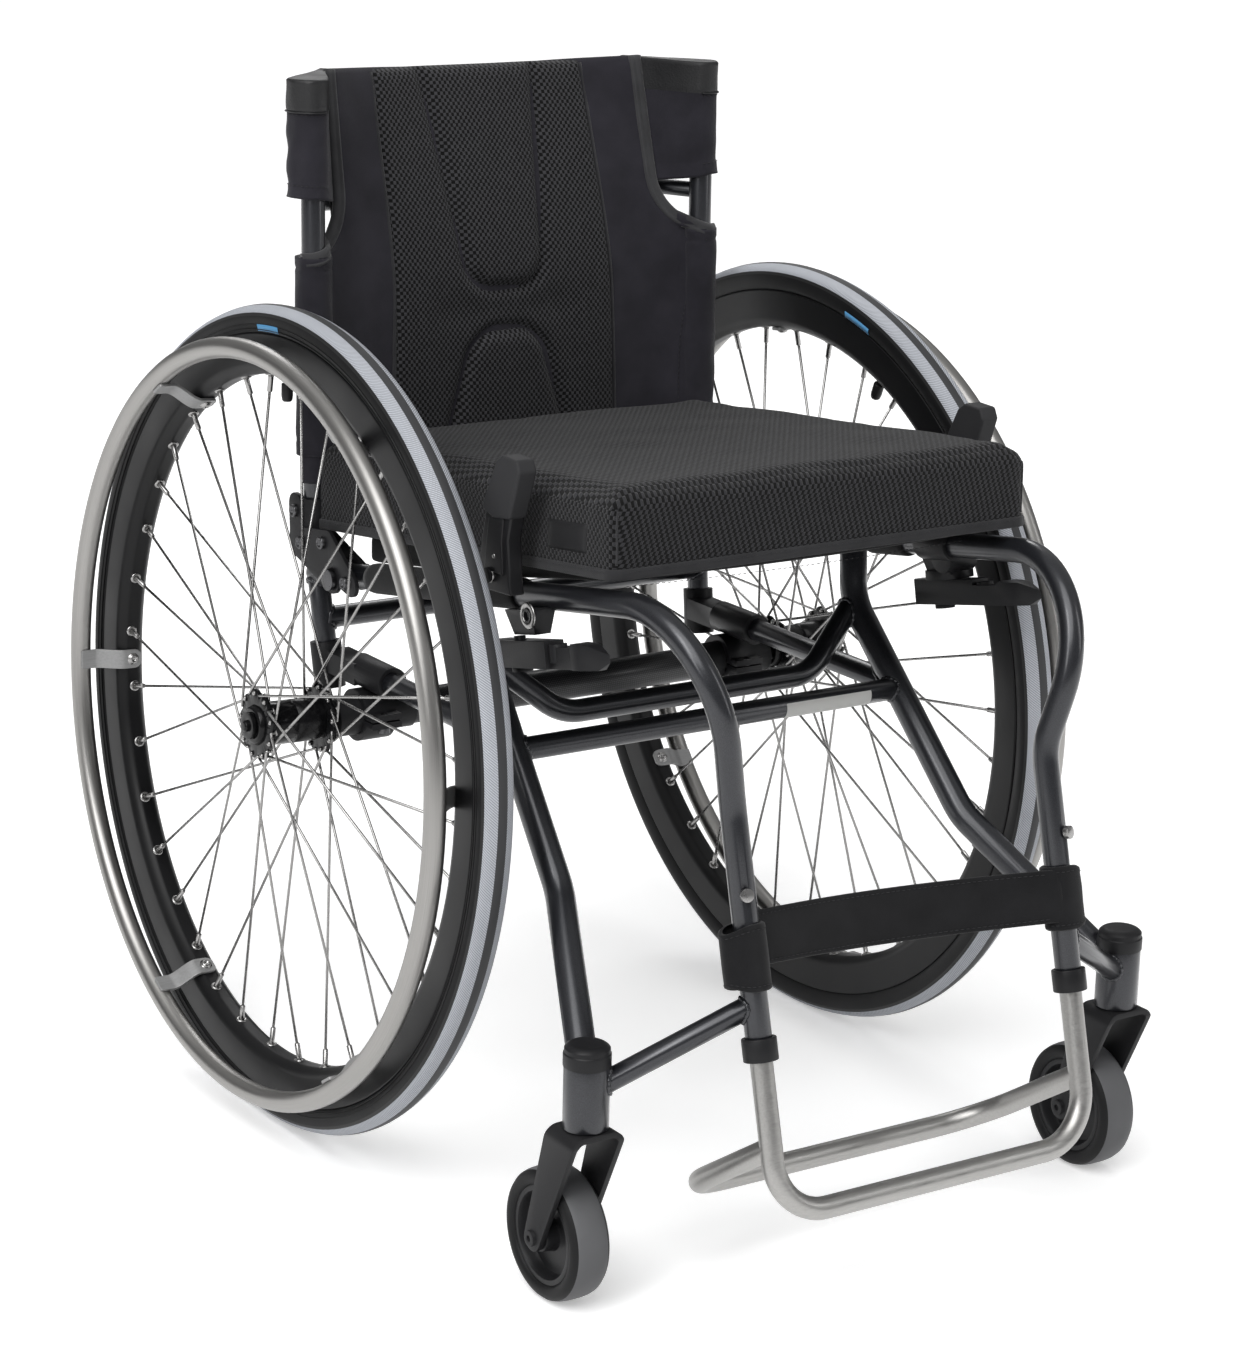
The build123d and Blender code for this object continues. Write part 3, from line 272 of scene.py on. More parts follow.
def frame_paint():
    """Dark metallic lacquer with fine flakes, and thin dust in patches."""
    shader = Shader("frame_paint", (0.022, 0.023, 0.027), 0.4, 0.6, coat_weight=0.7, coat_roughness=0.2)
    flakes = shader.noise(2600, 1)
    shader.vary("Base Color", flakes, 0.35, 0.7, (0.016, 0.0165, 0.02), (0.034, 0.036, 0.043))
    shader.vary("Roughness", shader.noise(9, 4), 0.3, 0.75, 0.32, 0.42)
    shader.bump(flakes, 0.02, 0.0002)
    return shader.material


def moulded_plastic(name, colour, roughness=0.4, grain=900, depth=0.12):
    """Moulded plastic or rubber with a fine eroded grain."""
    shader = Shader(name, colour, roughness, specular_ior_level=0.22)
    worn = shader.noise(14, 4)
    light = tuple(c * 1.45 + 0.002 for c in colour)
    shader.vary("Base Color", worn, 0.3, 0.8, colour, light)
    shader.vary("Roughness", worn, 0.3, 0.75, roughness - 0.06, roughness + 0.1)
    shader.bump(shader.noise(grain, 3), depth, 0.0004)
    return shader.material


def brushed_metal(name, colour, roughness, metallic=1.0, uv=False, **sockets):
    """Brushed metal: fine lines along the tube where the mesh carries them in its UVs."""
    shader = Shader(name, colour, roughness, metallic, **sockets)
    if uv:
        lines = shader.noise(1, 4, shader.coords("UV"), 0.7, (14, 2400, 1))
    else:
        lines = shader.noise(700, 4, None, 0.7, (0.12, 1, 1))
    dark = tuple(c * 0.8 for c in colour)
    shader.vary("Base Color", lines, 0.3, 0.7, dark, colour)
    shader.vary("Roughness", lines, 0.3, 0.75, roughness - 0.07, roughness + 0.13)
    shader.bump(lines, 0.1, 0.0002)
    return shader.material


def spoke_steel():
    shader = Shader("spoke_steel", (0.36, 0.355, 0.35), 0.26, 1.0)
    shader.vary("Roughness", shader.noise(300, 2), 0.3, 0.7, 0.2, 0.36)
    return shader.material


def tread_rubber():
    """Pale herringbone bands either side of a plain centre strip, black where the sidewall starts."""
    shader = Shader("tread_rubber", (0.34, 0.35, 0.37), 0.62)
    along, across, _ = shader.split(shader.coords("UV"))
    distance = shader.math("ABSOLUTE", across)
    ribs = shader.wave(shader.add(along, shader.times(distance, 0.9)), 0.0019)
    inner, outer = shader.math("GREATER_THAN", distance, 0.0035), shader.math("LESS_THAN", distance, 0.013)
    band = shader.times(inner, outer)
    worn = shader.times(shader.noise(60, 4), 0.5)
    shade = shader.ramp(shader.add(ribs, worn), -0.9, 1.0, (0.3, 0.315, 0.345), (0.55, 0.57, 0.62))
    flank = shader.math("GREATER_THAN", distance, 0.006)
    plain = shader.mix(flank, (0.035, 0.0355, 0.038, 1), (0.009, 0.009, 0.0095, 1))
    shader.set(shader.surface, "Base Color", shader.mix(band, plain, shade))
    shader.bump(shader.times(ribs, band), 0.5, 0.0003)
    return shader.material


def spacer_mesh(name, plane, colour, hole, cell, slant=0.0):
    """Spacer mesh: staggered holes in a knitted face, painted near black for the shade inside them; plane
    names its two axes, slant leans the rows.
    """
    shader = Shader(name, colour, 0.85, sheen_weight=0.12, sheen_roughness=0.5, specular_ior_level=0.15)
    coords = dict(zip("xyz", shader.split(shader.coords())))
    across, along = (coords[axis] for axis in plane)
    leant = shader.math("SUBTRACT", across, shader.times(along, slant))
    knit = shader.times(shader.wave(leant, cell[0]), shader.wave(along, cell[1]))
    dots = shader.add(knit, shader.times(shader.noise(160, 2), 0.3))
    # Painted shade: the holes get a near-black copy of the thread colour for the shade that falls inside
    # them.
    dark = tuple(c * 0.06 for c in colour)
    shader.vary("Base Color", dots, hole, hole + 0.22, colour, dark)
    shader.bump(shader.ramp(dots, hole - 0.15, hole + 0.3, 1.0, 0.0), 0.8, 0.0013)
    shader.bump(shader.noise(2400, 2), 0.25, 0.0003)
    return shader.material


def woven_cloth(name, colour, thread, sheen):
    """Close plain weave, crossed threads in all three directions so that it holds on any side."""
    shader = Shader(name, colour, 0.88, sheen_weight=sheen, sheen_roughness=0.45, specular_ior_level=0.2)
    x, y, z = shader.split(shader.coords())
    warp = shader.wave(shader.add(x, shader.times(y, 0.7)), thread)
    weft = shader.wave(shader.add(z, shader.times(y, 0.4)), thread)
    light = tuple(c * 1.6 + 0.001 for c in colour)
    shader.vary("Base Color", shader.noise(40, 5), 0.3, 0.75, colour, light)
    shader.bump(shader.times(warp, weft), 0.3, 0.0003)
    shader.bump(shader.noise(60, 4), 0.15, 0.002)
    return shader.material


def leather(name, colour):
    shader = Shader(name, colour, 0.45, specular_ior_level=0.4)
    cells = shader.node("TexVoronoi", {"Vector": shader.coords(), "Scale": 620.0}).outputs["Distance"]
    shader.bump(cells, 0.35, 0.0004)
    shader.vary("Roughness", shader.noise(50, 4), 0.3, 0.7, 0.36, 0.56)
    return shader.material


def carbon_weave():
    """Twill weave round a tube that lies along x, under clear lacquer."""
    lacquer = {"coat_weight": 0.35, "coat_roughness": 0.2, "specular_ior_level": 0.3}
    shader = Shader("carbon_weave", (0.014, 0.0145, 0.016), 0.4, 0.1, **lacquer)
    low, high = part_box("axle_tube")
    x, y, z = shader.split(shader.coords())
    up, back = shader.math("SUBTRACT", z, (low.z + high.z) / 2), shader.math("SUBTRACT", y, AXLE.y)
    around = shader.times(shader.math("ARCTAN2", up, back), (high.z - low.z) / 2)
    twill = shader.wave(shader.add(x, around), 0.005)
    weave = shader.times(twill, shader.wave(shader.math("SUBTRACT", x, around), 0.0025))
    shader.vary("Base Color", weave, -0.6, 0.6, (0.006, 0.006, 0.007), (0.034, 0.035, 0.038))
    shader.bump(weave, 0.12, 0.0003)
    return shader.material


def make_materials():
    """All materials by the names that place() takes."""
    looks = {"paint": frame_paint(), "tread": tread_rubber()}
    looks |= {"spoke": spoke_steel(), "carbon": carbon_weave()}
    plastics = {  # name, colour, roughness, grain, depth of the grain
        "cast": ("cast_black", (0.009, 0.009, 0.01), 0.42, 700, 0.18),
        "alloy": ("black_alloy", (0.012, 0.012, 0.013), 0.48, 1200, 0.08),
        "rim": ("rim_black", (0.0045, 0.0045, 0.005), 0.42, 1500, 0.03),
        "hub": ("hub_black", (0.004, 0.004, 0.0045), 0.22, 1500, 0.03),
        "plastic": ("black_plastic", (0.011, 0.011, 0.012)),
        "grip": ("grip_rubber", (0.024, 0.024, 0.0255), 0.62, 1400, 0.2),
        "rubber": ("patch_rubber", (0.014, 0.014, 0.015), 0.5),
        "sidewall": ("sidewall_rubber", (0.0065, 0.0065, 0.007), 0.56, 500, 0.15),
        "caster_rubber": ("caster_rubber", (0.1, 0.101, 0.105), 0.5, 900, 0.1),
    }
    metals = {  # name, colour, roughness, metallic
        "footrest": ("footrest_steel", (0.44, 0.433, 0.42), 0.38),
        "tab": ("tab_alloy", (0.33, 0.33, 0.33), 0.45, 0.55),
        "dark_steel": ("dark_steel", (0.12, 0.12, 0.125), 0.3),
    }
    meshes = {  # name, plane, colour, size of the holes, cell, slant
        "mesh_back": ("mesh_back", "xz", (0.047, 0.047, 0.051), 0.05, (0.0042, 0.005)),
        "mesh_top": ("mesh_top", "xy", (0.03, 0.03, 0.033), 0.01, (0.0046, 0.0105), 0.3),
        "mesh_front": ("mesh_front", "xz", (0.032, 0.032, 0.035), 0.01, (0.0046, 0.0056), 0.5),
        "mesh_side": ("mesh_side", "yz", (0.03, 0.03, 0.033), 0.01, (0.0046, 0.0056)),
    }
    cloths = {  # name, colour, spacing of the threads, sheen
        "cover": ("cover_stretch", (0.017, 0.016, 0.021), 0.0007, 0.2),
        "strap": ("strap_knit", (0.007, 0.007, 0.0078), 0.0011, 0.15),
        "webbing": ("sling_webbing", (0.011, 0.011, 0.0115), 0.0012, 0.15),
        "piping": ("piping_cloth", (0.022, 0.022, 0.024), 0.0008, 0.3),
        "binding": ("edge_binding", (0.034, 0.034, 0.036), 0.0011, 0.3),
        "hem": ("cushion_hem", (0.02, 0.02, 0.0215), 0.0011, 0.2),
    }
    plain = {  # name, colour, roughness
        "mark": ("tyre_mark", (0.09, 0.3, 0.55), 0.5),
        "thread": ("thread", (0.02, 0.02, 0.022), 0.8),
        "label": ("label_film", (0.62, 0.62, 0.6), 0.45),
    }
    makers = (
        (moulded_plastic, plastics), (brushed_metal, metals), (spacer_mesh, meshes),
        (woven_cloth, cloths), (plain_material, plain),
    )
    for maker, table in makers:
        looks.update({look: maker(*values) for look, values in table.items()})
    looks["handrim"] = brushed_metal("handrim_steel", (0.37, 0.362, 0.35), 0.36, uv=True, anisotropic=0.3)
    looks["leather"] = leather("band_leather", (0.0115, 0.0115, 0.0125))
    return looks


# ------------------------------------------------------------------ mesh helpers
def new_object(name, points, faces, uvs=None):
    mesh = bpy.data.meshes.new(name)
    mesh.from_pydata([tuple(p) for p in points], [], faces)
    if uvs is not None:
        layer = mesh.uv_layers.new(name="UVMap")
        layer.data.foreach_set("uv", [c for face in uvs for uv in face for c in uv])
    smooth(mesh)
    mesh.update()
    return linked(name, mesh)


def smooth(mesh):
    mesh.polygons.foreach_set("use_smooth", [True] * len(mesh.polygons))


def grid_faces(rows, columns, close_rows=False, close_columns=False):
    faces = []
    for i in range(rows if close_rows else rows - 1):
        for j in range(columns if close_columns else columns - 1):
            k, m = (i + 1) % rows, (j + 1) % columns
            faces.append((i * columns + j, i * columns + m, k * columns + m, k * columns + j))
    return faces


def grid_object(name, rows, close_rows=False, close_columns=False):
    points = [point for row in rows for point in row]
    return new_object(name, points, grid_faces(len(rows), len(rows[0]), close_rows, close_columns))


def outward_normals(made, fill=False):
    """Turns a piece's faces outward, after filling its open ends where asked."""
    build = bmesh.new()
    build.from_mesh(made.data)
    if fill:
        bmesh.ops.holes_fill(build, edges=build.edges)
        bmesh.ops.triangulate(build, faces=[face for face in build.faces if len(face.verts) > 4])
    bmesh.ops.recalc_face_normals(build, faces=build.faces)
    build.to_mesh(made.data)
    build.free()
    return made


def tube_object(name, rings):
    """Closed piece from rings of points, with both ends filled."""
    return outward_normals(grid_object(name, rings, False, True), fill=True)


def face_towards(made, direction):
    """Turns an open sheet so that its faces look along direction."""
    if sum((polygon.normal for polygon in made.data.polygons), Vector()).dot(Vector(direction)) < 0:
        made.data.flip_normals()
    return made


def modify(made, kind, **settings):
    modifier = made.modifiers.new(kind.lower(), kind)
    for key, value in settings.items():
        setattr(modifier, key, value)
    return modifier


def bevel(made, width, segments=2, angle=40):
    limit = {"limit_method": "ANGLE", "angle_limit": radians(angle)}
    modify(made, "BEVEL", width=width * MM, segments=segments, **limit)
    modify(made, "WEIGHTED_NORMAL", keep_sharp=True)
    return made


def apply_modifiers(made):
    depsgraph = bpy.context.evaluated_depsgraph_get()
    mesh = bpy.data.meshes.new_from_object(made.evaluated_get(depsgraph))
    old = made.data
    made.modifiers.clear()
    made.data = mesh
    bpy.data.meshes.remove(old)
    smooth(mesh)


class Spin:
    """A turning axis, with radial directions from which angles are counted."""

    def __init__(self, centre, axis, start):
        self.centre, self.axis = Vector(centre), Vector(axis).normalized()
        self.start = Vector(start).normalized()
        self.turned = self.axis.cross(self.start)

    def point(self, radius, angle, out):
        flat = self.start * cos(angle) + self.turned * sin(angle)
        return self.centre + flat * (radius * MM) + self.axis * (out * MM)

    def inward(self, radius, angle, out=0.0):
        """Axis from a point of the wheel towards the wheel's own axis."""
        return Spin(self.point(radius, angle, out), self.centre - self.point(radius, angle, 0), self.axis)


def outboard(side, x, y, z):
    """Axis that points away from the chair's middle plane."""
    return Spin(at(side * x, y, z), (side, 0, 0), (0, 1, 0))


def lathe(name, spin, profile, count=160, closed=True, first=0.0, last=2 * pi):
    """Turns a profile of (radius, out) points; UVs run along the circle and across the profile."""
    full = last - first > 2 * pi - 1e-6
    angles = steps(first, last, count)[: count if full else None]
    points = [spin.point(r, angle, out) for angle in angles for r, out in profile]
    faces = grid_faces(len(angles), len(profile), close_rows=full, close_columns=closed)
    widest = max(r for r, _ in profile)
    run = [0.0]
    for (r0, o0), (r1, o1) in zip(profile, profile[1:] + profile[:1]):
        run.append(run[-1] + hypot(r1 - r0, o1 - o0))
    middle = run[len(profile) - 1] / 2
    uvs = []
    for i in range(count):
        u0, u1 = (widest * (first + (last - first) * k / count) * MM for k in (i, i + 1))
        for j in range(len(profile) if closed else len(profile) - 1):
            v0, v1 = ((run[k] - middle) * MM for k in (j, j + 1))
            uvs.append(((u0, v0), (u0, v1), (u1, v1), (u1, v0)))
    return outward_normals(new_object(name, points, faces, uvs))


def arc(centre, radius, first, last, count):
    """Points of a circular arc as (a, b) pairs, angles in degrees."""
    turns = [radians(turn) for turn in steps(first, last, count)]
    return [(centre[0] + radius * cos(t), centre[1] + radius * sin(t)) for t in turns]


def mirrored(half, shared=0):
    """A section given as (radius, out) points and its other half; shared points aren't doubled."""
    return half + [(r, -out) for r, out in reversed(half[: len(half) - shared])]


def sweep(name, points, radius, sides=8, closed=False):
    """Round tube along a line of points in metres; the radius is one value or one per point."""
    points = [Vector(p) for p in points]
    count = len(points)
    radii = [radius] * count if isinstance(radius, (int, float)) else radius
    ring_points = []
    normal = None
    for i, point in enumerate(points):
        before = points[i - 1] if i or closed else point
        after = points[(i + 1) % count] if i < count - 1 or closed else point
        run = (after - before).normalized()
        if normal is None:
            normal = run.orthogonal().normalized()
        normal = (normal - run * normal.dot(run)).normalized()
        side = run.cross(normal)
        for k in range(sides):
            turn = 2 * pi * k / sides
            ring_points.append(point + (normal * cos(turn) + side * sin(turn)) * (radii[i] * MM))
    faces = grid_faces(count, sides, close_rows=closed, close_columns=True)
    if not closed:
        faces.append(tuple(range(sides))[::-1])
        faces.append(tuple(range((count - 1) * sides, count * sides)))
    return outward_normals(new_object(name, ring_points, faces))


def join(name, pieces):
    """One object from several, with their modifiers left out."""
    build = bmesh.new()
    for piece in pieces:
        mesh = piece.data
        build.from_mesh(mesh)
        bpy.data.objects.remove(piece)
        bpy.data.meshes.remove(mesh)
    mesh = bpy.data.meshes.new(name)
    build.to_mesh(mesh)
    build.free()
    smooth(mesh)
    return linked(name, mesh)


def place(made, body, look, slot, replaces=None):
    """Gives a piece its material and its body, and hides the CAD node that it stands for, where there is one.
    """
    if look:
        made.data.materials.append(LOOKS[look])
    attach(made, body)
    if replaces:
        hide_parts(replaces)
    return made


def dress(made, looks, choose):
    """Gives a piece several materials; choose(polygon) picks one of them for each face."""
    for look in looks:
        made.data.materials.append(LOOKS[look])
    for polygon in made.data.polygons:
        polygon.material_index = int(choose(polygon))


def spaced(points, step):
    """Points along a line at an even step."""
    points = [Vector(p) for p in points]
    out = [points[0]]
    left = step
    for a, b in zip(points, points[1:]):
        run = (b - a).length
        while left <= run and run > 0:
            out.append(a.lerp(b, left / run))
            left += step
        left -= run
    return out


def sew(name, line, lift, body, slot, length=2.6, gap=1.4, radius=0.32):
    """A row of short thread dashes along a line, lifted off the cloth along lift."""
    marks = spaced(line, (length + gap) * MM)
    dashes = []
    for a, b in zip(marks, marks[1:]):
        end = a.lerp(b, length / (length + gap))
        middle = a.lerp(end, 0.5) + Vector(lift) * (radius * MM)
        dashes.append(sweep("dash", [a, middle, end], [radius * 0.5, radius, radius * 0.5], 5))
    return place(join(name, dashes), body, "thread", slot)


# ------------------------------------------------------------------ wheels
WHEEL_R = 295.0
RIM_IN_R = 246.0
RIM_OUT_R = 275.0
RIM_HALF_W = 10.9
TREAD_R = 286.0
SPOKES = 36
FLANGE_R = 25.5
FLANGE_OUT = 22.0
FLANGE_IN = -27.0
HANDRIM_R = 266.0
HANDRIM_TUBE_R = 7.5
HANDRIM_OUT = 34.0
TABS = 6
VALVE_ANGLE = {"left": 113.0, "right": 86.75}
MARK_ANGLE = {"left": 106.9, "right": 85.4}
MARK_LENGTH = 30.0


def wheel_spin(name):
    joint = JOINTS[f"wheel_spin_{name}"]
    spin = Spin(joint["pos_m"], joint["axis"], (0, 1, 0))
    if spin.axis.x < 0:
        spin.turned = -spin.turned
    return spin


def make_tyre(name):
    """Tyre with bead, sidewalls that bulge over the rim and crown; moulded lines and a colour mark."""
    spin, body = wheel_spin(name), f"wheel_{name}"
    wall = [(RIM_OUT_R - 1, 9.0), (RIM_OUT_R + 1.5, 10.6), (279, 11.7), (283.5, 12.4), (287, 11.9)]
    crown = [(290, 10.6), (291.6, 9.4), (292.9, 7.2), (293.9, 4.8), (294.7, 2.4), (WHEEL_R, 0)]
    profile = mirrored(wall + crown, shared=1)
    tyre = lathe(f"tyre_wall_{name}", spin, profile, 192)

    def on_tread(polygon):
        return all(profile[v % len(profile)][0] > TREAD_R for v in polygon.vertices)

    dress(tyre, ("sidewall", "tread"), on_tread)
    place(tyre, body, None, "tyre_black", f"tyre_{name}")
    for k, middle in enumerate(((281.0, 12.15), (277.6, 11.55))):
        bead = lathe(f"tyre_line_{k}_{name}", spin, arc(middle, 0.45, 0, 360, 5)[:-1])
        place(bead, body, "sidewall", "tyre_black")
    mark = [(281.2, 11.9), (281.2, 12.62), (276.6, 11.62), (276.6, 10.9)]
    middle, reach = radians(MARK_ANGLE[name]), MARK_LENGTH / 2 / 279
    for face, flip in (("outer", 1), ("inner", -1)):
        outline = [(r, flip * out) for r, out in mark]
        bar = lathe(f"tyre_mark_{face}_{name}", spin, outline, 10, True, middle - reach, middle + reach)
        place(bar, body, "mark", "tyre_black")


def make_rim(name):
    """Black box-section rim with bright eyelets round the spoke holes, and the valve."""
    spin, body = wheel_spin(name), f"wheel_{name}"
    outline = [
        (RIM_IN_R, -3.0), (RIM_IN_R + 0.3, -5.6), (RIM_IN_R + 4, -9.6), (RIM_IN_R + 8, -RIM_HALF_W),
        (RIM_OUT_R - 1.2, -RIM_HALF_W), (RIM_OUT_R, -RIM_HALF_W + 0.6), (RIM_OUT_R - 0.2, -8.9),
        (RIM_OUT_R - 9, -8.4), (RIM_OUT_R - 13, -5),
    ]
    rim = bevel(lathe(f"rim_shell_{name}", spin, mirrored(outline), 192), 0.4)
    place(rim, body, "rim", "black_alloy", f"rim_{name}")
    ring = [(4.2, 0.0), (4.0, 0.7), (3.0, 1.1), (2.1, 0.9), (1.8, 0.0)]
    eyelets = []
    for i in range(SPOKES):
        hole = spin.inward(RIM_IN_R + 0.2, lacing_turn(name) + 2 * pi * i / SPOKES, rim_offset(i))
        eyelets.append(lathe("eyelet", hole, ring, 14, closed=False))
    place(join(f"eyelets_{name}", eyelets), body, "spoke", "steel")
    stem = spin.inward(RIM_IN_R + 2, radians(VALVE_ANGLE[name]))
    valve = {
        "stem": [(0.1, 0), (3.0, 0), (3.0, 3), (2.5, 4), (2.5, 9), (0.1, 9)],
        "cap": [(0.1, 7), (3.9, 7), (4.1, 7.7), (4.1, 15.5), (3.6, 18.6), (2.6, 19.7), (0.1, 20)],
    }
    for label, profile in valve.items():
        place(lathe(f"valve_{label}_{name}", stem, profile, 20, False), body, "plastic", "plastic")


def rim_offset(i):
    """How far a spoke hole lies to the side of the rim's middle: the holes go in pairs."""
    return 1.2 if i % 4 < 2 else -1.2


def lacing_turn(name):
    """How far the lacing is turned; the valve sits midway between two spoke holes."""
    return radians(VALVE_ANGLE[name] - 85)


def make_spokes(name):
    """Three-cross lacing: elbow and head in the flange, straight butted wire, nipple in the rim."""
    spin = wheel_spin(name)
    pitch = 2 * pi / SPOKES
    wires = []
    for flange, start in ((FLANGE_OUT, 0.0), (FLANGE_IN, pitch)):
        for i in range(SPOKES // 2):
            turn = 1 if i % 2 else -1
            angle = lacing_turn(name) + start + 2 * pitch * i
            foot = spin.point(22.6, angle, flange)
            elbow = spin.point(22.9, angle, flange + turn * 1.9)
            head = spin.point(22.6, angle, flange - turn * 2.4)
            tip = spin.point(RIM_IN_R - 0.2, angle + turn * radians(60), turn * 1.2)
            wire = [head, foot, elbow, elbow.lerp(tip, 0.01), elbow.lerp(tip, 0.04), tip]
            along = (tip - elbow).normalized() * MM
            nipple = [tip + along * step for step in (-12.5, -12, -2, 0.5)]
            cap = [head + spin.axis * (turn * step * MM) for step in (-0.9, 0, 0.8)]
            wires.append(sweep("wire", wire, 1.0))
            wires.append(sweep("nipple", nipple, [1.2, 1.9, 1.9, 2.5], 10))
            wires.append(sweep("head", cap, [1.1, 2.0, 1.7]))
    place(join(f"spoke_set_{name}", wires), f"wheel_{name}", "spoke", "steel", f"spokes_{name}")


def make_hub(name):
    """Black hub shell with two scalloped flanges."""
    spin, body = wheel_spin(name), f"wheel_{name}"
    shell = [
        (6.6, -33), (12, -33), (12.8, -32.4), (13.6, -29.4), (14.4, -24.5), (15.4, -20), (15.6, -4),
        (15.1, -3.6), (15.1, -2.6), (15.6, -2.2), (15.6, 15), (14.6, 19.5), (14.2, 24), (13.4, 26.4),
        (12.4, 27.4), (6.6, 27.4),
    ]
    place(lathe(f"hub_shell_{name}", spin, shell, 64), body, "hub", "black_alloy", f"hub_{name}")
    for label, out in (("outer", FLANGE_OUT), ("inner", FLANGE_IN)):
        rows = []
        for angle in steps(0, 2 * pi, 216)[:-1]:
            lobe = 0.5 + 0.5 * cos(angle * SPOKES / 4)
            edge = FLANGE_R - 2.6 * (1 - lobe) ** 1.5
            ring = mirrored([(14.5, 1.7), (edge - 1.2, 1.7), (edge, 0.8)])
            rows.append([spin.point(r, angle, out + o) for r, o in ring])
        flange = outward_normals(grid_object(f"flange_{label}_{name}", rows, True, True))
        modify(flange, "EDGE_SPLIT", split_angle=radians(40))
        place(flange, body, "hub", "black_alloy")


def make_handrim(name):
    ring = arc((HANDRIM_R, HANDRIM_OUT), HANDRIM_TUBE_R, 0, 360, 24)[:-1]
    handrim = lathe(f"handrim_ring_{name}", wheel_spin(name), ring, 192)
    place(handrim, f"wheel_{name}", "handrim", "bright_alloy", f"handrim_{name}")


def strap_line():
    """Middle of a tab's strap as (radius, out, half width): under the rim, an S-bend, then the handrim."""
    low, high, half = RIM_IN_R - 1.3, HANDRIM_R - HANDRIM_TUBE_R - 0.8, 7.2
    under = ((-6.0, 3.0), (-5.2, 4.9), (-3.8, 6.3), (-1.6, 7.1), (1.0, half), (6.5, half))
    line = [(low, out, width) for out, width in under]
    line += [(low + (high - low) * ease(t), 6.5 + 20.5 * t, half) for t in steps(0, 1, 12)[1:-1]]
    return line + [(high, 27.0, half), (high, 33.5, half), (high, 36.2, 6.8), (high, 37.4, 5.6)]


def make_tabs(name):
    """Straps bent from the rim's inner face to the handrim, each with a domed screw."""
    spin, body = wheel_spin(name), f"wheel_{name}"
    line = strap_line()
    half_thickness = 1.2
    dome = [(4.6, 0), (4.6, 0.5), (3.7, 0.6), (3.6, 1.2), (2.9, 2.0), (1.7, 2.4), (1.6, 1.2), (0.1, 1.2)]
    straps, screws = [], []
    for i in range(TABS):
        angle = radians(VALVE_ANGLE[name]) + 2 * pi * (i + 0.5) / TABS
        rows = []
        for k, (r, out, half_width) in enumerate(line):
            ahead, behind = line[min(k + 1, len(line) - 1)], line[max(k - 1, 0)]
            along = Vector((ahead[0] - behind[0], ahead[1] - behind[1])).normalized()
            up = Vector((along.y, -along.x)) * half_thickness
            turn = half_width / r
            corners = ((-turn, -1), (-turn, 1), (turn, 1), (turn, -1))
            rows.append([spin.point(r + up.x * s, angle + t, out + up.y * s) for t, s in corners])
        straps.append(tube_object("tab", rows))
        screws.append(lathe("tab_screw", spin.inward(RIM_IN_R - 2.5, angle, 1.0), dome, 18, closed=False))
    tabs = bevel(join(f"tab_set_{name}", straps), 0.5)
    place(tabs, body, "tab", "black_alloy", f"handrim_tabs_{name}")
    place(join(f"tab_screws_{name}", screws), body, "spoke", "steel")


# ------------------------------------------------------------------ casters
CASTER_R = 44.5


def make_caster_tyre(name):
    joint = JOINTS[f"caster_spin_{name}"]
    spin = Spin(joint["pos_m"], joint["axis"], (0, 0, 1))
    wall = [(33, 11.8), (35, 13.6), (38.5, 14.4), (41.4, 13.4), (43.2, 11.2), (44.1, 8), (CASTER_R, 4)]
    profile = mirrored(wall)
    tyre = lathe(f"caster_tread_{name}", spin, profile, 96)

    def on_tread(polygon):
        mine = [profile[v % len(profile)] for v in polygon.vertices]
        return all(abs(out) < 11.5 and r > 40 for r, out in mine)

    dress(tyre, ("sidewall", "caster_rubber"), on_tread)
    place(tyre, f"caster_{name}", None, "caster_rubber", f"caster_tyre_{name}")


# ------------------------------------------------------------------ backrest
RAIL_X = 166.0
POST_R = 8.5
BACK_LOW, BACK_HIGH = 450.0, 734.0
BACK_STEPS = (0, 90, 136, 166)
BACK_SECTIONS = ((450, (74, 75, 69, 59)), (590, (80, 80, 74, 62)), (734, (130, 126, 109, 98)))
NECK_X, COVER_X = 137.0, 177.5
NOTCH_Z, NOTCH_R = 614.0, 42.0
COVER_LIFT, COVER_PUFF = 2.4, 2.2


def hermite(x, xs, ys):
    """Smooth curve through (xs, ys)."""
    x = min(max(x, xs[0]), xs[-1])
    slopes = np.gradient(np.array(ys, float), np.array(xs, float))
    k = min(int(np.searchsorted(xs, x, "right")) - 1, len(xs) - 2)
    h = xs[k + 1] - xs[k]
    t = (x - xs[k]) / h
    a = (1 + 2 * t) * (1 - t) ** 2 * ys[k] + t * (1 - t) ** 2 * h * slopes[k]
    return a + ease(t) * ys[k + 1] + t * t * (t - 1) * h * slopes[k + 1]


def post_y(z):
    return 67.0 + (z - 469) * 0.022


def back_depth(x, z):
    """How far behind the axle the cover's front lies."""
    low, middle, high = (hermite(abs(x), BACK_STEPS, depths) for _, depths in BACK_SECTIONS)
    z0, z1, z2 = (z for z, _ in BACK_SECTIONS)
    slope0, slope1 = (middle - low) / (z1 - z0), (high - middle) / (z2 - z1)
    soft = 26.0
    past = (z - z1) + sqrt((z - z1) ** 2 + soft**2)
    return middle + slope0 * (z - z1) + (slope1 - slope0) * 0.5 * (past - soft * 0.4)


def cover_edge(z):
    """Half width of the front cover: full at the bottom, notched for the arms above."""
    shoulder = NOTCH_Z + NOTCH_R
    if z >= shoulder:
        return NECK_X - 3.0 * (z - shoulder) / (BACK_HIGH - shoulder)
    if z <= NOTCH_Z:
        return COVER_X
    drop = (shoulder - z) / NOTCH_R
    return NECK_X + (COVER_X - NECK_X) * (1 - sqrt(max(0.0, 1 - drop**2.2)))


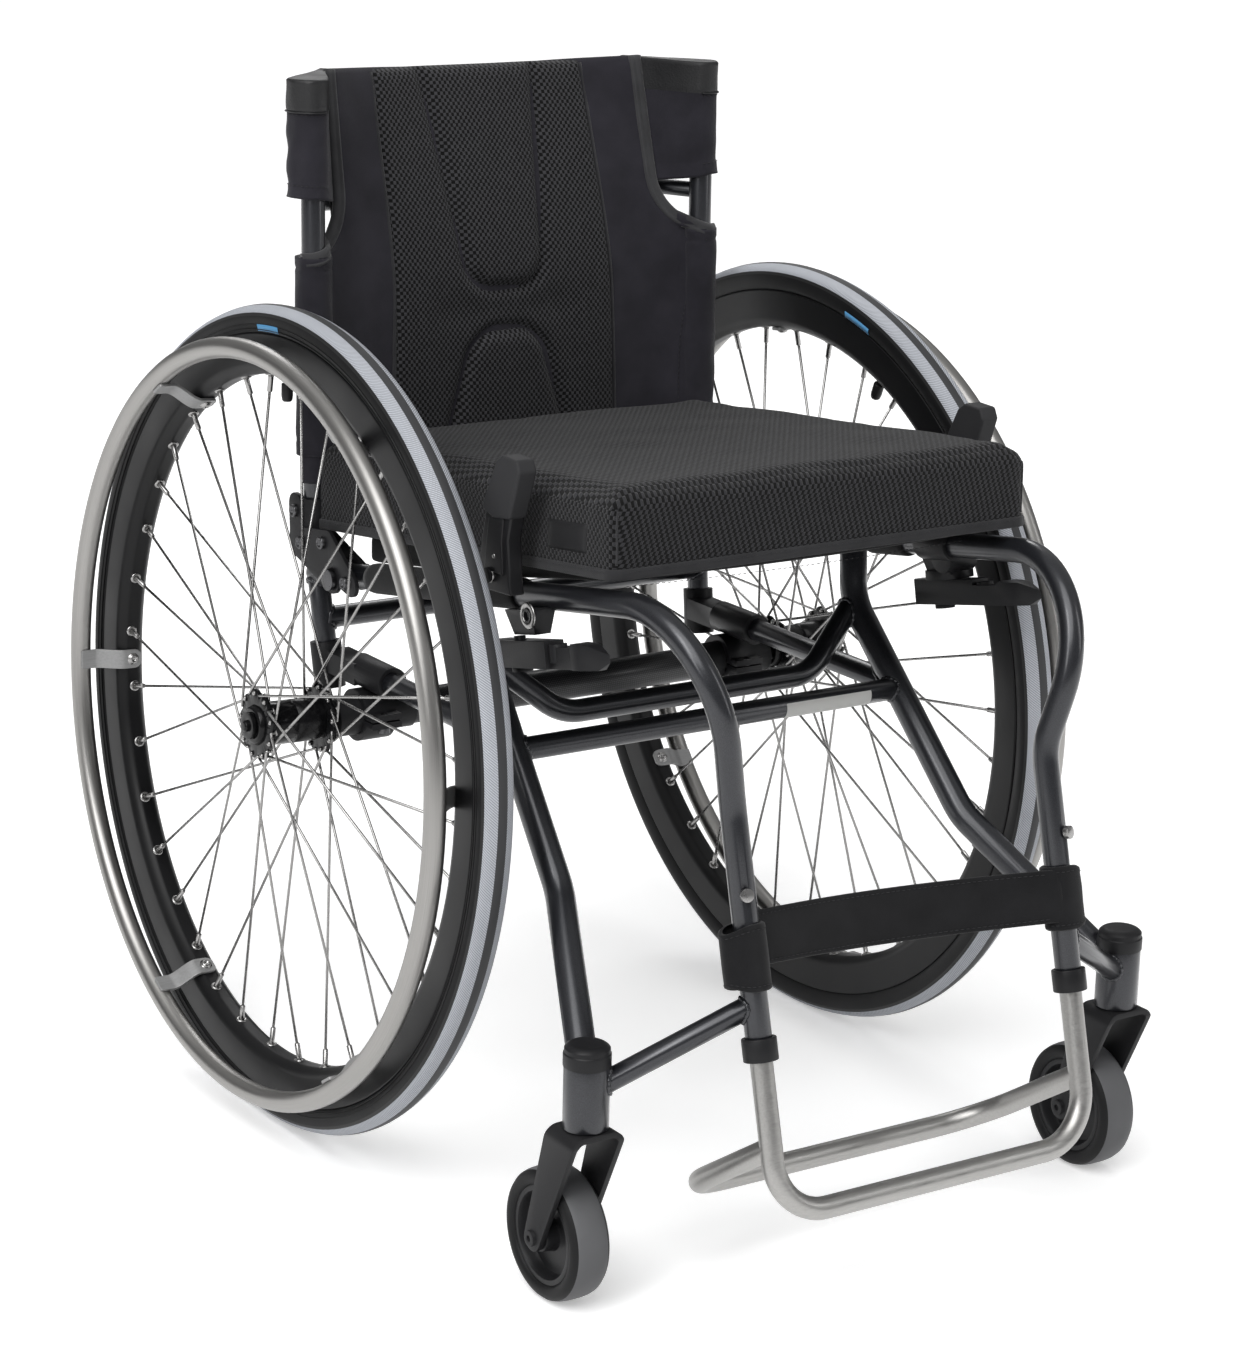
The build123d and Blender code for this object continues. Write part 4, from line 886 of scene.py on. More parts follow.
def cover_front(x, z):
    """Front of the cover, which hugs the post where it reaches that far out."""
    depth, radius = back_depth(x, z), POST_R + 4.2
    reach = abs(x) - RAIL_X
    if abs(x) > 140 and z < 660:
        wrap = post_y(z) - sqrt(max(radius**2 - reach**2, 0.0)) if abs(reach) < radius else depth
        depth += (wrap - depth) * ease(clamp((abs(x) - 140) / 18))
    return depth


def corner_rise(x, z):
    """The cover's top edge is drawn up towards its two corners."""
    return 4.5 * min(abs(x) / 134, 1.0) ** 2 * clamp((z - 690) / 44)


def wrinkle(x, z, scale, size):
    return size * ripple(x * scale, z * scale * 0.6, 3.7)


def make_cover():
    """Stretch-cloth front cover: one padded sheet with rounded edges, bound round the arm notches."""
    rows = []
    for z in steps(BACK_LOW, BACK_HIGH, 96):
        edge = cover_edge(z)
        front, rear = [], []
        for x in steps(-edge, edge, 72):
            inset = max(min(edge - abs(x), z - BACK_LOW, BACK_HIGH - z), 0)
            puff = COVER_PUFF * (1 - exp(-inset / 5.0))
            depth, lifted = cover_front(x, z), z + corner_rise(x, z)
            front.append(at(x, depth + COVER_LIFT - puff + wrinkle(x, z, 0.03, 1.3), lifted))
            rear.append(at(x, depth + 5.4 + 0.6 * puff, lifted))
        rows.append(front + rear[::-1])
    cover = tube_object("cover_cloth", rows)
    place(cover, "backrest", "cover", "cover_cloth", "back_cover")

    for name, side in SIDES:
        place(make_binding(name, side), "backrest", "binding", "cover_cloth")
        seam = []
        for z in steps(606, 476, 33):
            x = 164 - 16 * sin(min((606 - z) / 100, 1.0) * pi / 2)
            seam.append(at(side * x, cover_front(x, z) - 0.1, z))
        sew(f"side_seam_{name}", seam, (0, -1, 0), "backrest", "cover_cloth", radius=0.3)
        make_lower_sleeve(name, side)
        make_upper_sleeve(name, side)


def neck_line():
    """The cover's edge from its top corner down to the floor of the arm notch, as (x, z) pairs."""
    reach = 43.0
    curve = NOTCH_Z + reach * np.linspace(0.98, 0, 60) ** 1.6
    heights = np.concatenate([np.linspace(BACK_HIGH, NOTCH_Z + reach, 40), curve])
    line = spaced([Vector((cover_edge(z), 0, z)) for z in heights] + [Vector((176.5, 0, 613.6))], 3.0)
    return [(p.x, p.z) for p in line]


def make_binding(name, side):
    """Folded binding round the neck's edge, with the ridge where it is sewn down."""
    strip = (  # distance in from the edge, lift off the cover's front
        (8.2, 1.0), (8.0, -0.5), (7.0, -1.5), (5.8, -1.6), (5.0, -0.8), (3.4, -1.1), (1.6, -1.5), (0.2, -1.4),
        (-1.2, -0.2), (-1.5, 1.8), (-0.8, 3.6), (1.5, 4.6), (6.5, 4.6),
    )
    line = neck_line()
    rows = []
    for i, (x, z) in enumerate(line):
        ahead, behind = line[min(i + 1, len(line) - 1)], line[max(i - 1, 0)]
        run = Vector((ahead[0] - behind[0], ahead[1] - behind[1])).normalized()
        pucker = 1 + 0.25 * ripple(i * 0.5, side * 3, 0)
        row = []
        for inset, lift in strip:
            px, pz = x + run.y * inset, z - run.x * inset
            base = cover_front(px, pz) + COVER_LIFT - COVER_PUFF * (1 - exp(-max(inset, 0) / 5))
            row.append(at(side * px, base + lift * pucker, pz + corner_rise(px, pz)))
        rows.append(row)
    return tube_object(f"neck_binding_{name}", rows)


def make_lower_sleeve(name, side):
    """The cover's lower edge sewn into a sleeve round the post, with a turned hem at each end."""

    def ring(z, inside=False):
        points = []
        for angle in steps(0, 2 * pi, 40)[:-1]:
            hems = 0.7 * (ridge(z, 481, 1.2) + ridge(z, 604, 1.2))
            crease = 1.6 * ripple(cos(angle) * 1.3, sin(angle) * 1.3, z * 0.035 + side)
            radius = POST_R + (0.5 if inside else 4.8 - hems + crease)
            points.append(at(side * (RAIL_X + radius * cos(angle)), post_y(z) + radius * sin(angle), z))
        return points

    rows = [ring(470, inside=True)] + [ring(z) for z in steps(470, 612, 71)] + [ring(612, inside=True)]
    sleeve = outward_normals(grid_object(f"lower_sleeve_{name}", rows, False, True))
    place(sleeve, "backrest", "cover", "cover_cloth")


def make_upper_sleeve(name, side):
    """Flap of the rear sling sewn round the top of the post: cloth below, smooth band and hem above."""
    low, high, band = 654.0, 736.0, 714.0
    inner_x, inner_y = 128.0, 53.0
    thin, lever_clearance = 2.2, 181.4
    loose = 0.5 if side > 0 else 7.0

    def section(z, grow):
        """Outline at a height: round the post, then tapering to where the flap meets the sling."""
        flare = 1.2 * exp(-((z - low) / 6.0)) + (0.7 if z < low + 10 else 0.0) + (0.5 if z > band else 0.0)
        radius = POST_R + 2.6 + flare + grow
        dx, dy = inner_x - RAIL_X, inner_y - (high - z) * 0.2
        length = hypot(dx, dy)
        nx, ny = -dy / length, dx / length
        start = atan2(ny, nx)
        ring = []
        for a in steps(0, pi, 21):
            slack = radius + loose * sin(a / 2) ** 20 * (1 + 0.3 * ripple(a * 2, z * 0.06, side))
            ring.append((slack * cos(start + a), slack * sin(start + a)))
        shares = (0.25, 0.5, 0.75, 1.0)
        for sign, wide, run in ((-1, radius + loose, shares), (1, radius, shares[::-1])):
            for t in run:
                reach = sign * (wide * (1 - t) ** 1.6 + thin)
                ring.append((dx * t + nx * reach, dy * t + ny * reach))
        droop = 10.0 * (1 - (z - low) / (band - low)) if z < band else 0.0
        points = []
        for x, y in ring:
            outer = min(RAIL_X + x, lever_clearance)
            points.append(at(side * outer, post_y(z) + y, z - droop * clamp(x / dx)))
        return points

    heights = steps(low, high, 41)
    rows = [section(z, 0.6 * ripple(z * 0.07, side, 0)) for z in heights]
    rows = [section(low, -2.4)] + rows + [section(high + 1.2, -1.0), section(high + 1.0, -2.6)]
    sleeve = tube_object(f"upper_sleeve_{name}", rows)
    across, leather_row = len(rows[0]), heights.index(band) + 1
    dress(sleeve, ("cover", "leather"), lambda face: min(face.vertices) // across >= leather_row)
    place(sleeve, "backrest", None, "cover_cloth")
    for z, label in ((band - 1.5, "top"), (low + 9, "hem")):
        line = section(z, 0.25)[2:24]
        sew(f"sleeve_{label}_{name}", line, (0, -0.7, 0), "backrest", "cover_cloth", 2.4, radius=0.3)
    fold = sweep(f"sleeve_fold_{name}", section(band + 0.2, 0.5)[2:24], 0.7, 6)
    place(fold, "backrest", "leather", "cover_cloth")


def pad_edge(z):
    return 96 - 7 * (z - BACK_LOW) / (BACK_HIGH - BACK_LOW)


def outside_panel(x, beyond, half, corner=20.0):
    """Signed distance outside a panel's rounded end; beyond counts from the end's line of corners."""
    dx, dz = abs(x) - (half - corner), beyond
    return hypot(max(dx, 0), max(dz, 0)) + min(max(dx, dz), 0) - corner


def pad_relief(x, z):
    """Height of the mesh pad over its backing: sewn channels round two raised panels."""
    upper = outside_panel(x, 597 - z, 31 + (z - 578) * 0.112)
    lower = outside_panel(x, z - 527, 28 + (546 - z) * 0.3)
    groove = 5.4 * ridge(min(abs(upper), abs(lower)), 0, 5.0)
    rise = 2.6 * (1 - exp(-max(-upper, 0) / 9)) + 2.6 * (1 - exp(-max(-lower, 0) / 9))
    waist = 2.2 * ridge(z, 562, 12) * ridge(max(abs(x), 44), 44, 16)
    bolster = 1.6 * ridge(abs(x), 68, 17)
    return 5.8 + rise + bolster - groove - waist


def make_pad():
    """Spacer-mesh pad: crowned panels with sewn channels between them."""
    columns, low, high = 110, BACK_LOW + 1, BACK_HIGH + 1
    rows = []
    for z in steps(low, high, 150):
        edge = pad_edge(z)
        row = []
        for x in steps(-edge, edge, columns):
            near = clamp(min(edge - abs(x), high - z, (z - low) * 2) / 9.0)
            height = pad_relief(x, z) * sqrt(1 - (1 - near) ** 2)
            row.append(at(x, back_depth(x, z) + 1.5 - height + wrinkle(x, z, 0.02, 0.8), z))
        ends = [at(x, back_depth(edge, z) + 3, z) for x in (-edge, edge)]
        rows.append(ends[:1] + row + ends[1:])
    edge = pad_edge(high)
    rows.append([at(x, back_depth(x, high) + 4, high - 1) for x in steps(-edge, edge, columns + 2)])
    pad = face_towards(outward_normals(grid_object("pad_mesh", rows)), (0, -1, 0))
    place(pad, "backrest", "mesh_back", "mesh", "back_pad")
    for name, side in SIDES:
        heights = steps(BACK_LOW + 3, BACK_HIGH - 1, 69)
        line = [at(side * (pad_edge(z) + 0.8), back_depth(pad_edge(z), z) + 0.6, z) for z in heights]
        place(sweep(f"pad_welt_{name}", line, 1.5), "backrest", "piping", "cover_cloth")


def make_back_sling():
    """Plain rear panel between the posts, hemmed at the top and bottom."""
    rows = []
    for z in steps(451, 734, 48):
        hem = 0.8 * (ridge(z, 722, 1.2) + ridge(z, 463, 1.2))
        half = 150 if z < 612 else 138
        line = [(x, back_depth(x, z) + 9.0) for x in steps(-half, half, 40)]
        rear = [at(x, y + 2.6 - hem + wrinkle(x, z, 0.02, 1.0), z) for x, y in line]
        rows.append([at(x, y, z) for x, y in line] + rear[::-1])
    sling = tube_object("sling_cloth", rows)
    place(sling, "backrest", "webbing", "sling_cloth", "back_sling")
    for z in (724, 461):
        line = [at(x, back_depth(x, z) + 11.9, z) for x in range(-132, 133, 6)]
        sew(f"sling_stitches_{z}", line, (0, 1, 0), "backrest", "sling_cloth")


# ------------------------------------------------------------------ seat
SEAT_HALF_W = 167.5
CUSHION_FRONT, CUSHION_TAIL = -330.0, 64.0
CUSHION_SLOPE = 0.1243


def cushion_bottom(y):
    return 465.0 - (y - CUSHION_FRONT) * CUSHION_SLOPE


def cushion_top(y):
    return 519.0 - (y + 319) * 0.1035


def cushion_point(u, v, w):
    """Point of the cushion: u across, v from front to rear, w from bottom to top, each -1 to 1."""
    y = CUSHION_FRONT + (CUSHION_TAIL - CUSHION_FRONT) * (v + 1) / 2
    low, high = cushion_bottom(y), cushion_top(y)
    return at(u * SEAT_HALF_W, y, low + (high - low) * (w + 1) / 2)


def cushion_radii(w):
    """Edge radii as shares of the half sizes: tight round the bottom, rolled over at the top."""
    lift = clamp((w + 0.2) / 0.9)
    return 0.045 + 0.04 * lift, 0.038 + 0.034 * lift, 0.1 + 0.42 * lift


def rounded(point, radii):
    inner = [max(-1 + r, min(1 - r, c)) for c, r in zip(point, radii)]
    offset = Vector([(c - i) / r for c, i, r in zip(point, inner, radii)])
    if offset.length > 1:
        offset.normalize()
    return [i + o * r for i, o, r in zip(inner, offset, radii)]


def rounded_box(name, shape, counts, radii):
    """Closed box of quads, finer towards its edges, rounded and mapped through shape(u, v, w)."""
    spots, faces = {}, []
    for axis in range(3):
        first, second = (axis + 1) % 3, (axis + 2) % 3
        for end in (0, counts[axis]):
            for i in range(counts[first]):
                for j in range(counts[second]):
                    face = []
                    for a, b in ((i, j), (i + 1, j), (i + 1, j + 1), (i, j + 1)):
                        key = [0, 0, 0]
                        key[axis], key[first], key[second] = end, a, b
                        face.append(spots.setdefault(tuple(key), len(spots)))
                    faces.append(face if end else face[::-1])
    points = []
    for key in spots:
        even = [2 * k / n - 1 for k, n in zip(key, counts)]
        points.append(shape(*rounded([0.5 * c + 0.5 * sin(c * pi / 2) for c in even], radii(even[2]))))
    return new_object(name, points, faces)


def read_points(made, key="co"):
    values = np.empty(len(made.data.vertices) * 3)
    made.data.vertices.foreach_get(key, values)
    return values.reshape(-1, 3)


def inflate(made, pressure, frames, cap):
    """How far cloth simulation blows each point of a padded piece outward, in millimetres up to cap."""
    rest, normals = read_points(made), read_points(made, "normal")
    cloth = modify(made, "CLOTH").settings
    cloth.quality = 5
    cloth.mass = 0.3
    cloth.use_pressure = True
    cloth.uniform_pressure_force = pressure
    cloth.effector_weights.gravity = 0
    cloth.tension_stiffness = 15
    cloth.bending_stiffness = 2
    scene = bpy.context.scene
    for step in range(1, frames + 1):
        scene.frame_set(step)
    apply_modifiers(made)
    scene.frame_set(1)
    outward = ((read_points(made) - rest) * normals).sum(axis=1) / MM
    made.data.vertices.foreach_set("co", rest.ravel())
    return cap * np.tanh(np.maximum(outward, 0) / cap)


def surface_of(made):
    """Search tree over a piece's faces, in metres."""
    mesh = made.data
    points = [vert.co.copy() for vert in mesh.vertices]
    return BVHTree.FromPolygons(points, [tuple(face.vertices) for face in mesh.polygons])


def cushion_relief(x, y, z, swell):
    """How far out the cover stands in millimetres: its swell, gathers by the corners and a seam groove."""
    height = (z - cushion_bottom(y)) / (cushion_top(y) - cushion_bottom(y))
    corner = hypot(abs(x) - SEAT_HALF_W, min(abs(y - CUSHION_FRONT), abs(y - CUSHION_TAIL)))
    gathers = 1.9 * ridge(corner, 0, 26) * ripple(x * 0.12, y * 0.12, z * 0.025)
    waves = 0.9 * ripple(x * 0.022, y * 0.022, z * 0.03)
    groove = 1.4 * ridge(corner, 3.0, 2.6) * clamp((0.8 - height) / 0.3)
    return (swell + gathers + waves) * clamp((height - 0.16) / 0.4) - groove


def cushion_ring(grow, height):
    """Points round the cushion, seen from above with rounded corners, at a height over its bottom."""
    corner, count = 7.5, 240
    half, front, tail = SEAT_HALF_W - corner, CUSHION_FRONT + corner, CUSHION_TAIL - corner
    line = []
    for x, y, first in ((half, front, -90), (half, tail, 0), (-half, tail, 90), (-half, front, 180)):
        line += [Vector((*p, 0)) for p in arc((x, y), corner + grow, first, first + 90, 8)]
    line = spaced(line + line[:1], 4.0)[:-1]
    ring = [line[round(k * (len(line) - 1) / (count - 1))] for k in range(count)]
    return [at(p.x, p.y, cushion_bottom(p.y) + height) for p in ring]


def make_cushion():
    """Foam cushion in a mesh cover: crowned top, rolled top edge, bound bottom edge and corner seams."""
    cushion = rounded_box("cushion_cover", cushion_point, (56, 64, 16), cushion_radii)
    rest, normals = read_points(cushion), read_points(cushion, "normal")
    swell = inflate(cushion, 4.0, 18, 4.0)
    for vert, point, normal, out in zip(cushion.data.vertices, rest, normals, swell):
        relief = cushion_relief(point[0] / MM, (point[1] - AXLE.y) / MM, point[2] / MM, out)
        vert.co = point + normal * (relief * MM)
    modify(cushion, "SUBSURF", levels=1, render_levels=1)
    modify(cushion, "SMOOTH", factor=0.5, iterations=2)
    apply_modifiers(cushion)
    surface = surface_of(cushion)

    def face_look(polygon):
        across, along, up = (abs(c) for c in polygon.normal)
        return 0 if up >= 0.55 else 1 if along > across else 2

    dress(cushion, ("mesh_top", "mesh_front", "mesh_side"), face_look)
    place(cushion, "frame", None, "mesh", "seat_cushion")

    section = ((-2.0, 0.4), (1.0, 0.2), (1.3, 1.2), (1.2, 6.6), (0.6, 7.4), (-2.0, 7.8))
    rows = [cushion_ring(grow, height) for grow, height in section]
    band = outward_normals(grid_object("cushion_binding", rows, True, True))
    soft = [cushion, place(band, "frame", "hem", "mesh")]
    edge, front, tail = SEAT_HALF_W + 1.1, CUSHION_FRONT + 10, CUSHION_TAIL - 10
    edges = {
        "front": ([(x, CUSHION_FRONT - 1.1) for x in (-158, 158)], (0, -1, 0)),
        "left": ([(edge, front), (edge, tail)], (1, 0, 0)),
        "right": ([(-edge, front), (-edge, tail)], (-1, 0, 0)),
    }
    for label, (ends, lift) in edges.items():
        line = [at(x, y, cushion_bottom(y) + 5.4) for x, y in ends]
        soft.append(sew(f"binding_stitches_{label}", line, lift, "frame", "mesh", 1.6, 2.2, 0.35))
    for name, side in SIDES:
        for label, end in (("front", -1.01), ("rear", 1.01)):
            edge = [cushion_point(side * 1.01, end, w) for w in steps(-0.66, -0.66 + 1.4, 17)]
            cord = sweep(f"corner_seam_{label}_{name}", [surface.find_nearest(p)[0] for p in edge], 0.8, 6)
            soft.append(place(cord, "frame", "piping", "mesh"))
    soft.append(make_patch(surface))
    for piece in soft:
        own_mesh(piece)


def make_patch(surface):
    """Plain rubber patch sewn to the cushion's right flank, with nothing on it."""
    rows = []
    for b in steps(-1, 1, 8):
        row = []
        for a in steps(-1, 1, 12):
            y = -273 + 23 * a
            start = at(-SEAT_HALF_W - 20, y, cushion_bottom(y) + 25 + 9.5 * b)
            lift = 0.2 + 1.3 * (1 - abs(a) ** 8) * (1 - abs(b) ** 8)
            row.append(surface.ray_cast(start, Vector((1, 0, 0)))[0] - Vector((lift * MM, 0, 0)))
        rows.append(row)
    patch = face_towards(grid_object("cushion_patch", rows), (-1, 0, 0))
    modify(patch, "SOLIDIFY", thickness=0.002, offset=-1)
    apply_modifiers(patch)
    return place(patch, "frame", "rubber", "mesh")


def rail_z(y):
    return 435.5 - (y + 248) * 0.1689


def rail_point(side, y):
    """Middle of a seat rail, which runs inwards from the rear to the front."""
    front_x, front_y, rear_y = 157, -428, 64
    x = RAIL_X - (rear_y - y) * (RAIL_X - front_x) / (rear_y - front_y)
    return at(side * x, y, rail_z(y))


def make_seat_sling():
    """Sprung seat upholstery: a quilted panel over the rails and sleeves round them."""
    front, rear, half = -308.0, 5.0, 156

    def shape(u, v, w):
        y = front + (rear - front) * (v + 1) / 2
        high = cushion_bottom(y) - 0.4
        low = max(rail_z(y) + 9.0, high - 3.0 - 0.08 * (y - front))
        sag = 3.0 * (1 - u * u) * (1 - w) / 2
        return at(u * half, y, low + (high - low) * (w + 1) / 2 - sag)

    panel = rounded_box("seat_panel", shape, (30, 30, 8), lambda w: (0.03, 0.03, 0.5))
    place(panel, "frame", "webbing", "sling_cloth", "seat_sling")
    for name, side in SIDES:
        for k, ends in enumerate(((-212, -168), (-120, -20))):
            line = [rail_point(side, y) for y in steps(*ends, 20)]
            sleeve = sweep(f"rail_sleeve_{k}_{name}", line, [10.4] + [10.9] * 19 + [10.4], 28)
            place(sleeve, "frame", "webbing", "sling_cloth")
    for y in (-302, -250, -160, -70, -4):
        line = [at(x, y, rail_z(y) + 8.4 - 2.6 * (1 - (x / 150) ** 2)) for x in range(-140, 141, 7)]
        sew(f"seat_quilting_{-y}", line, (0, 0, -1), "frame", "sling_cloth", 3, 1.6)


# ------------------------------------------------------------------ calf strap
LEG_TILT = radians(14.65)
LEG_X = 127


def front_tube(side, z):
    """Middle of a front leg tube, which leans back towards its top."""
    return at(side * LEG_X, -409.5 - (335 - z) * tan(LEG_TILT), z)


def make_calf_strap():
    """Knitted strap: a bowed band between the front tubes and a wrapped loop round each."""
    up = Vector((0, sin(LEG_TILT), cos(LEG_TILT)))
    ahead = Vector((0, -cos(LEG_TILT), sin(LEG_TILT)))
    middle = front_tube(0, 239)
    half = 122.0

    def local(x, back, height):
        return middle + Vector((x * MM, 0, 0)) - ahead * (back * MM) + up * (height * MM)

    def on_band(x, out, height):
        """Point on the band, which leaves behind the right tube and ends in front of the left one."""
        t = (x + half) / (2 * half)
        back = 9.0 - 18.2 * t + 24.0 * (1 - (x / half) ** 2)
        return local(x, back - out, height * (1 - 0.03 * (x / half) ** 2) + 10.0 * (1 - t))

    section = (  # height, out
        (-18.3, 0), (-17.6, 1.2), (-15.4, 1.4), (-9, 1.7), (0, 1.8), (9, 1.7), (15.4, 1.4), (17.6, 1.2),
        (18.3, 0), (17.6, -1.2), (0, -1.6), (-17.6, -1.2),
    )
    rows = [[on_band(x, out, height) for height, out in section] for x in steps(-half, half, 60)]
    band = tube_object("strap_band", rows)
    place(band, "frame", "strap", "sling_cloth", "calf_strap")
    for label, height in (("upper", 15.4), ("lower", -15.4)):
        line = [on_band(x, 1.5, height) for x in range(-114, 115, 6)]
        sew(f"strap_stitches_{label}", line, ahead, "frame", "sling_cloth")
    section = ((-21.4, -3.0), (-21.5, -1.2), (-20.6, 0), (-18.6, 0.3), (-17.6, 0), (-6, 0.1))
    section += tuple((-height, thick) for height, thick in section[::-1])
    for name, side in SIDES:
        drop, bulge = (2.0, 4.0) if side > 0 else (-1.0, 7.5)

        def around(angle, height, thick):
            """Point on the loop, which stands off the tube on its outer side."""
            out = max(side * cos(angle), 0.0)
            soft = 0.4 * ripple(cos(angle), sin(angle), height * 0.06 + side)
            radius = 12.1 + thick + bulge * out**2 + soft
            x, back = side * LEG_X + radius * cos(angle), radius * sin(angle)
            return local(x, back, height * (1 - 0.2 * out**4) - drop)

        rows = [[around(angle, *spot) for angle in steps(0, 2 * pi, 48)[:-1]] for spot in section]
        loop = outward_normals(grid_object(f"strap_loop_{name}", rows, False, True))
        place(loop, "frame", "strap", "sling_cloth")
        for label, height in (("upper", 17.8), ("lower", -17.8)):
            line = [around(radians(turn), height, 0.2) for turn in range(-170, -9, 6)]
            sew(f"loop_stitches_{label}_{name}", line, ahead, "frame", "sling_cloth", 2.4)


# ------------------------------------------------------------------ wheel locks
def make_slab(label, name, side, outline, x0, x1, look, width):
    """Part of a lever: a flat outline of (y, z) points between two distances from the middle."""
    points = [at(side * x, y, z) for x in (x0, x1) for y, z in outline]
    count = len(outline)
    faces = [tuple(range(count)), tuple(range(count, 2 * count))[::-1]]
    faces += [(k, k + count, (k + 1) % count + count, (k + 1) % count) for k in range(count)]
    slab = bevel(outward_normals(new_object(f"{label}_{name}", points, faces)), width, 3, 25)
    return place(slab, f"lever_{name}", look, "lever_plastic")


def make_lever(name, side):
    """Moulded brake lever with a faceted soft grip and a bright rivet."""
    inner = 183.2
    shank = [
        (-249, 440), (-246.5, 447), (-246, 456), (-243.5, 476), (-248, 494), (-216, 492), (-211, 471),
        (-208, 450), (-208.5, 444), (-215, 437.5),
    ]
    rib = [(-240, 452), (-238, 474), (-240, 490), (-222, 488), (-219, 470), (-217, 452)]
    grip = [
        (-248, 491), (-254, 508), (-259.5, 524), (-255.5, 531.5), (-238, 532), (-230.5, 526.5), (-221, 508),
        (-213.5, 492.5), (-228, 488),
    ]
    lever = make_slab("lever_shank", name, side, shank, inner, inner + 11.0, "plastic", 1.6)
    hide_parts(f"brake_lever_{name}")
    make_slab("lever_rib", name, side, rib, inner + 8, inner + 12.4, "plastic", 1.0)
    make_slab("lever_grip", name, side, grip, inner - 1.2, inner + 13.2, "grip", 2.0)
    dome = [(5.2, 0), (5.2, 1.0), (4.0, 2.2), (2.0, 2.9), (0.1, 3.0)]
    rivet = lathe(f"lever_rivet_{name}", outboard(side, inner + 11, -223, 449), dome, 28, False)
    place(rivet, "frame", "spoke", "steel")
    dot = [(1.8, -1), (1.8, 0.2), (1.2, 0.6), (0.1, 0.7)]
    stud = lathe(f"lever_stud_{name}", outboard(side, inner + 12.2, -229, 463), dot, 16, False)
    place(stud, f"lever_{name}", "spoke", "lever_plastic")


def make_bracket_rings(name, side):
    """Bright washer round the clamp screw of the brake's bracket."""
    axis = outboard(side, 182.2, -251, 426.3)
    ring = [(8.9, -0.4), (8.9, 0.3), (8.2, 0.7), (5.8, 0.7), (5.3, 0.3), (5.3, -0.4)]
    place(lathe(f"bracket_ring_{name}", axis, ring, 48), "frame", "spoke", "steel")
    head = [(5.1, -0.3), (5.1, 0.4), (4.6, 0.7), (2.9, 0.7), (2.6, -0.2), (0.1, -0.2)]
    place(lathe(f"bracket_screw_{name}", axis, head, 32, False), "frame", "hub", "steel")


# ------------------------------------------------------------------ welds and small parts
def weld(name, start, end, radius, other, other_radius):
    """Bead where a tube that runs from start to end meets the side of another tube."""
    run = (end - start).normalized()
    base, tip = other
    axis = (tip - base).normalized()
    across = run.orthogonal().normalized()
    beside = run.cross(across)
    count = 64
    line = []
    for turn in steps(0, 2 * pi, count)[:-1]:
        point = start + (across * cos(turn) + beside * sin(turn)) * (radius * MM)
        gap = point - base
        p = gap - axis * gap.dot(axis)
        q = run - axis * run.dot(axis)
        a, b, c = q.dot(q), 2 * p.dot(q), p.dot(p) - (other_radius * MM) ** 2
        under = b * b - 4 * a * c
        if under >= 0:
            line.append(point + run * ((-b - sqrt(under)) / (2 * a)))
    if len(line) < 8:
        return
    radii = [1.5 * (1 + 0.16 * sin(k * 2 * pi * 16 / count)) for k in range(len(line))]
    place(sweep(name, line, radii, 8, closed=len(line) == count), "frame", "paint", "frame_paint")


def make_welds():
    for name, side in SIDES:
        leg = (at(side * 157, -154, 373), at(side * 169, -276, 243))
        foot = (leg[1], at(side * 220.5, -393, 155))
        rail = (rail_point(side, -320), rail_point(side, 60))
        tube = (front_tube(side, 180), front_tube(side, 330))
        strut = (at(side * 220.5, -393, 152), front_tube(side, 211))
        housing = (at(side * 220.5, -393, 100), at(side * 220.5, -393, 200))
        post = (at(side * 163, 49, 304), at(side * 166, 62, 384))
        on_rail = at(side * 163, -143, rail_z(-143))
        joints = {  # start, end and radius of the tube, then the tube that it meets
            "cross": (at(0, -205, 319.4), at(side * 160, -205, 319.4), 8, leg, 10),
            "support": (at(side * 125, -166, 346), leg[0], 8, leg, 10),
            "stay": (at(side * 158, -60, 322), at(side * 160, -202, 322), 8, leg, 10),
            "rail": (leg[0], on_rail, 10, rail, 8.75),
            "strut": (strut[0], strut[1], 7.5, tube, 8.75),
            "housing": (strut[1], strut[0], 7.5, housing, 15),
            "leg_foot": (foot[0], foot[1], 10, housing, 15),
            "post": (post[0], post[1], 8, rail, 8.75),
            "rear": (at(0, 56, 350), at(side * 164, 56, 350), 8, post, 8),
        }
        for label, tubes in joints.items():
            weld(f"weld_{label}_{name}", *tubes)


def make_label():
    """Blank pale sticker round the front of the cross tube."""
    section = arc((-205, 319.4), 8.15, 150, 250, 12)
    rows = [[at(x, y, z) for y, z in section] for x in (58, 132)]
    place(face_towards(grid_object("tube_label", rows), (0, -1, 0)), "frame", "label", "frame_paint")


def make_screws():
    """Socket-head screws of the backrest's hinge plates."""
    cap = [(4.6, -0.4), (4.6, 2.6), (4.1, 3.2), (2.5, 3.2), (2.4, 1.2), (0.1, 1.2)]
    for name, side in SIDES:
        for k, (y, z) in enumerate(((63.4, 406.4), (32, 413), (-2, 391), (73, 428))):
            screw = lathe(f"hinge_screw_{k}_{name}", outboard(side, 178.6, y, z), cap, 28, False)
            place(screw, "backrest", "dark_steel", "steel")


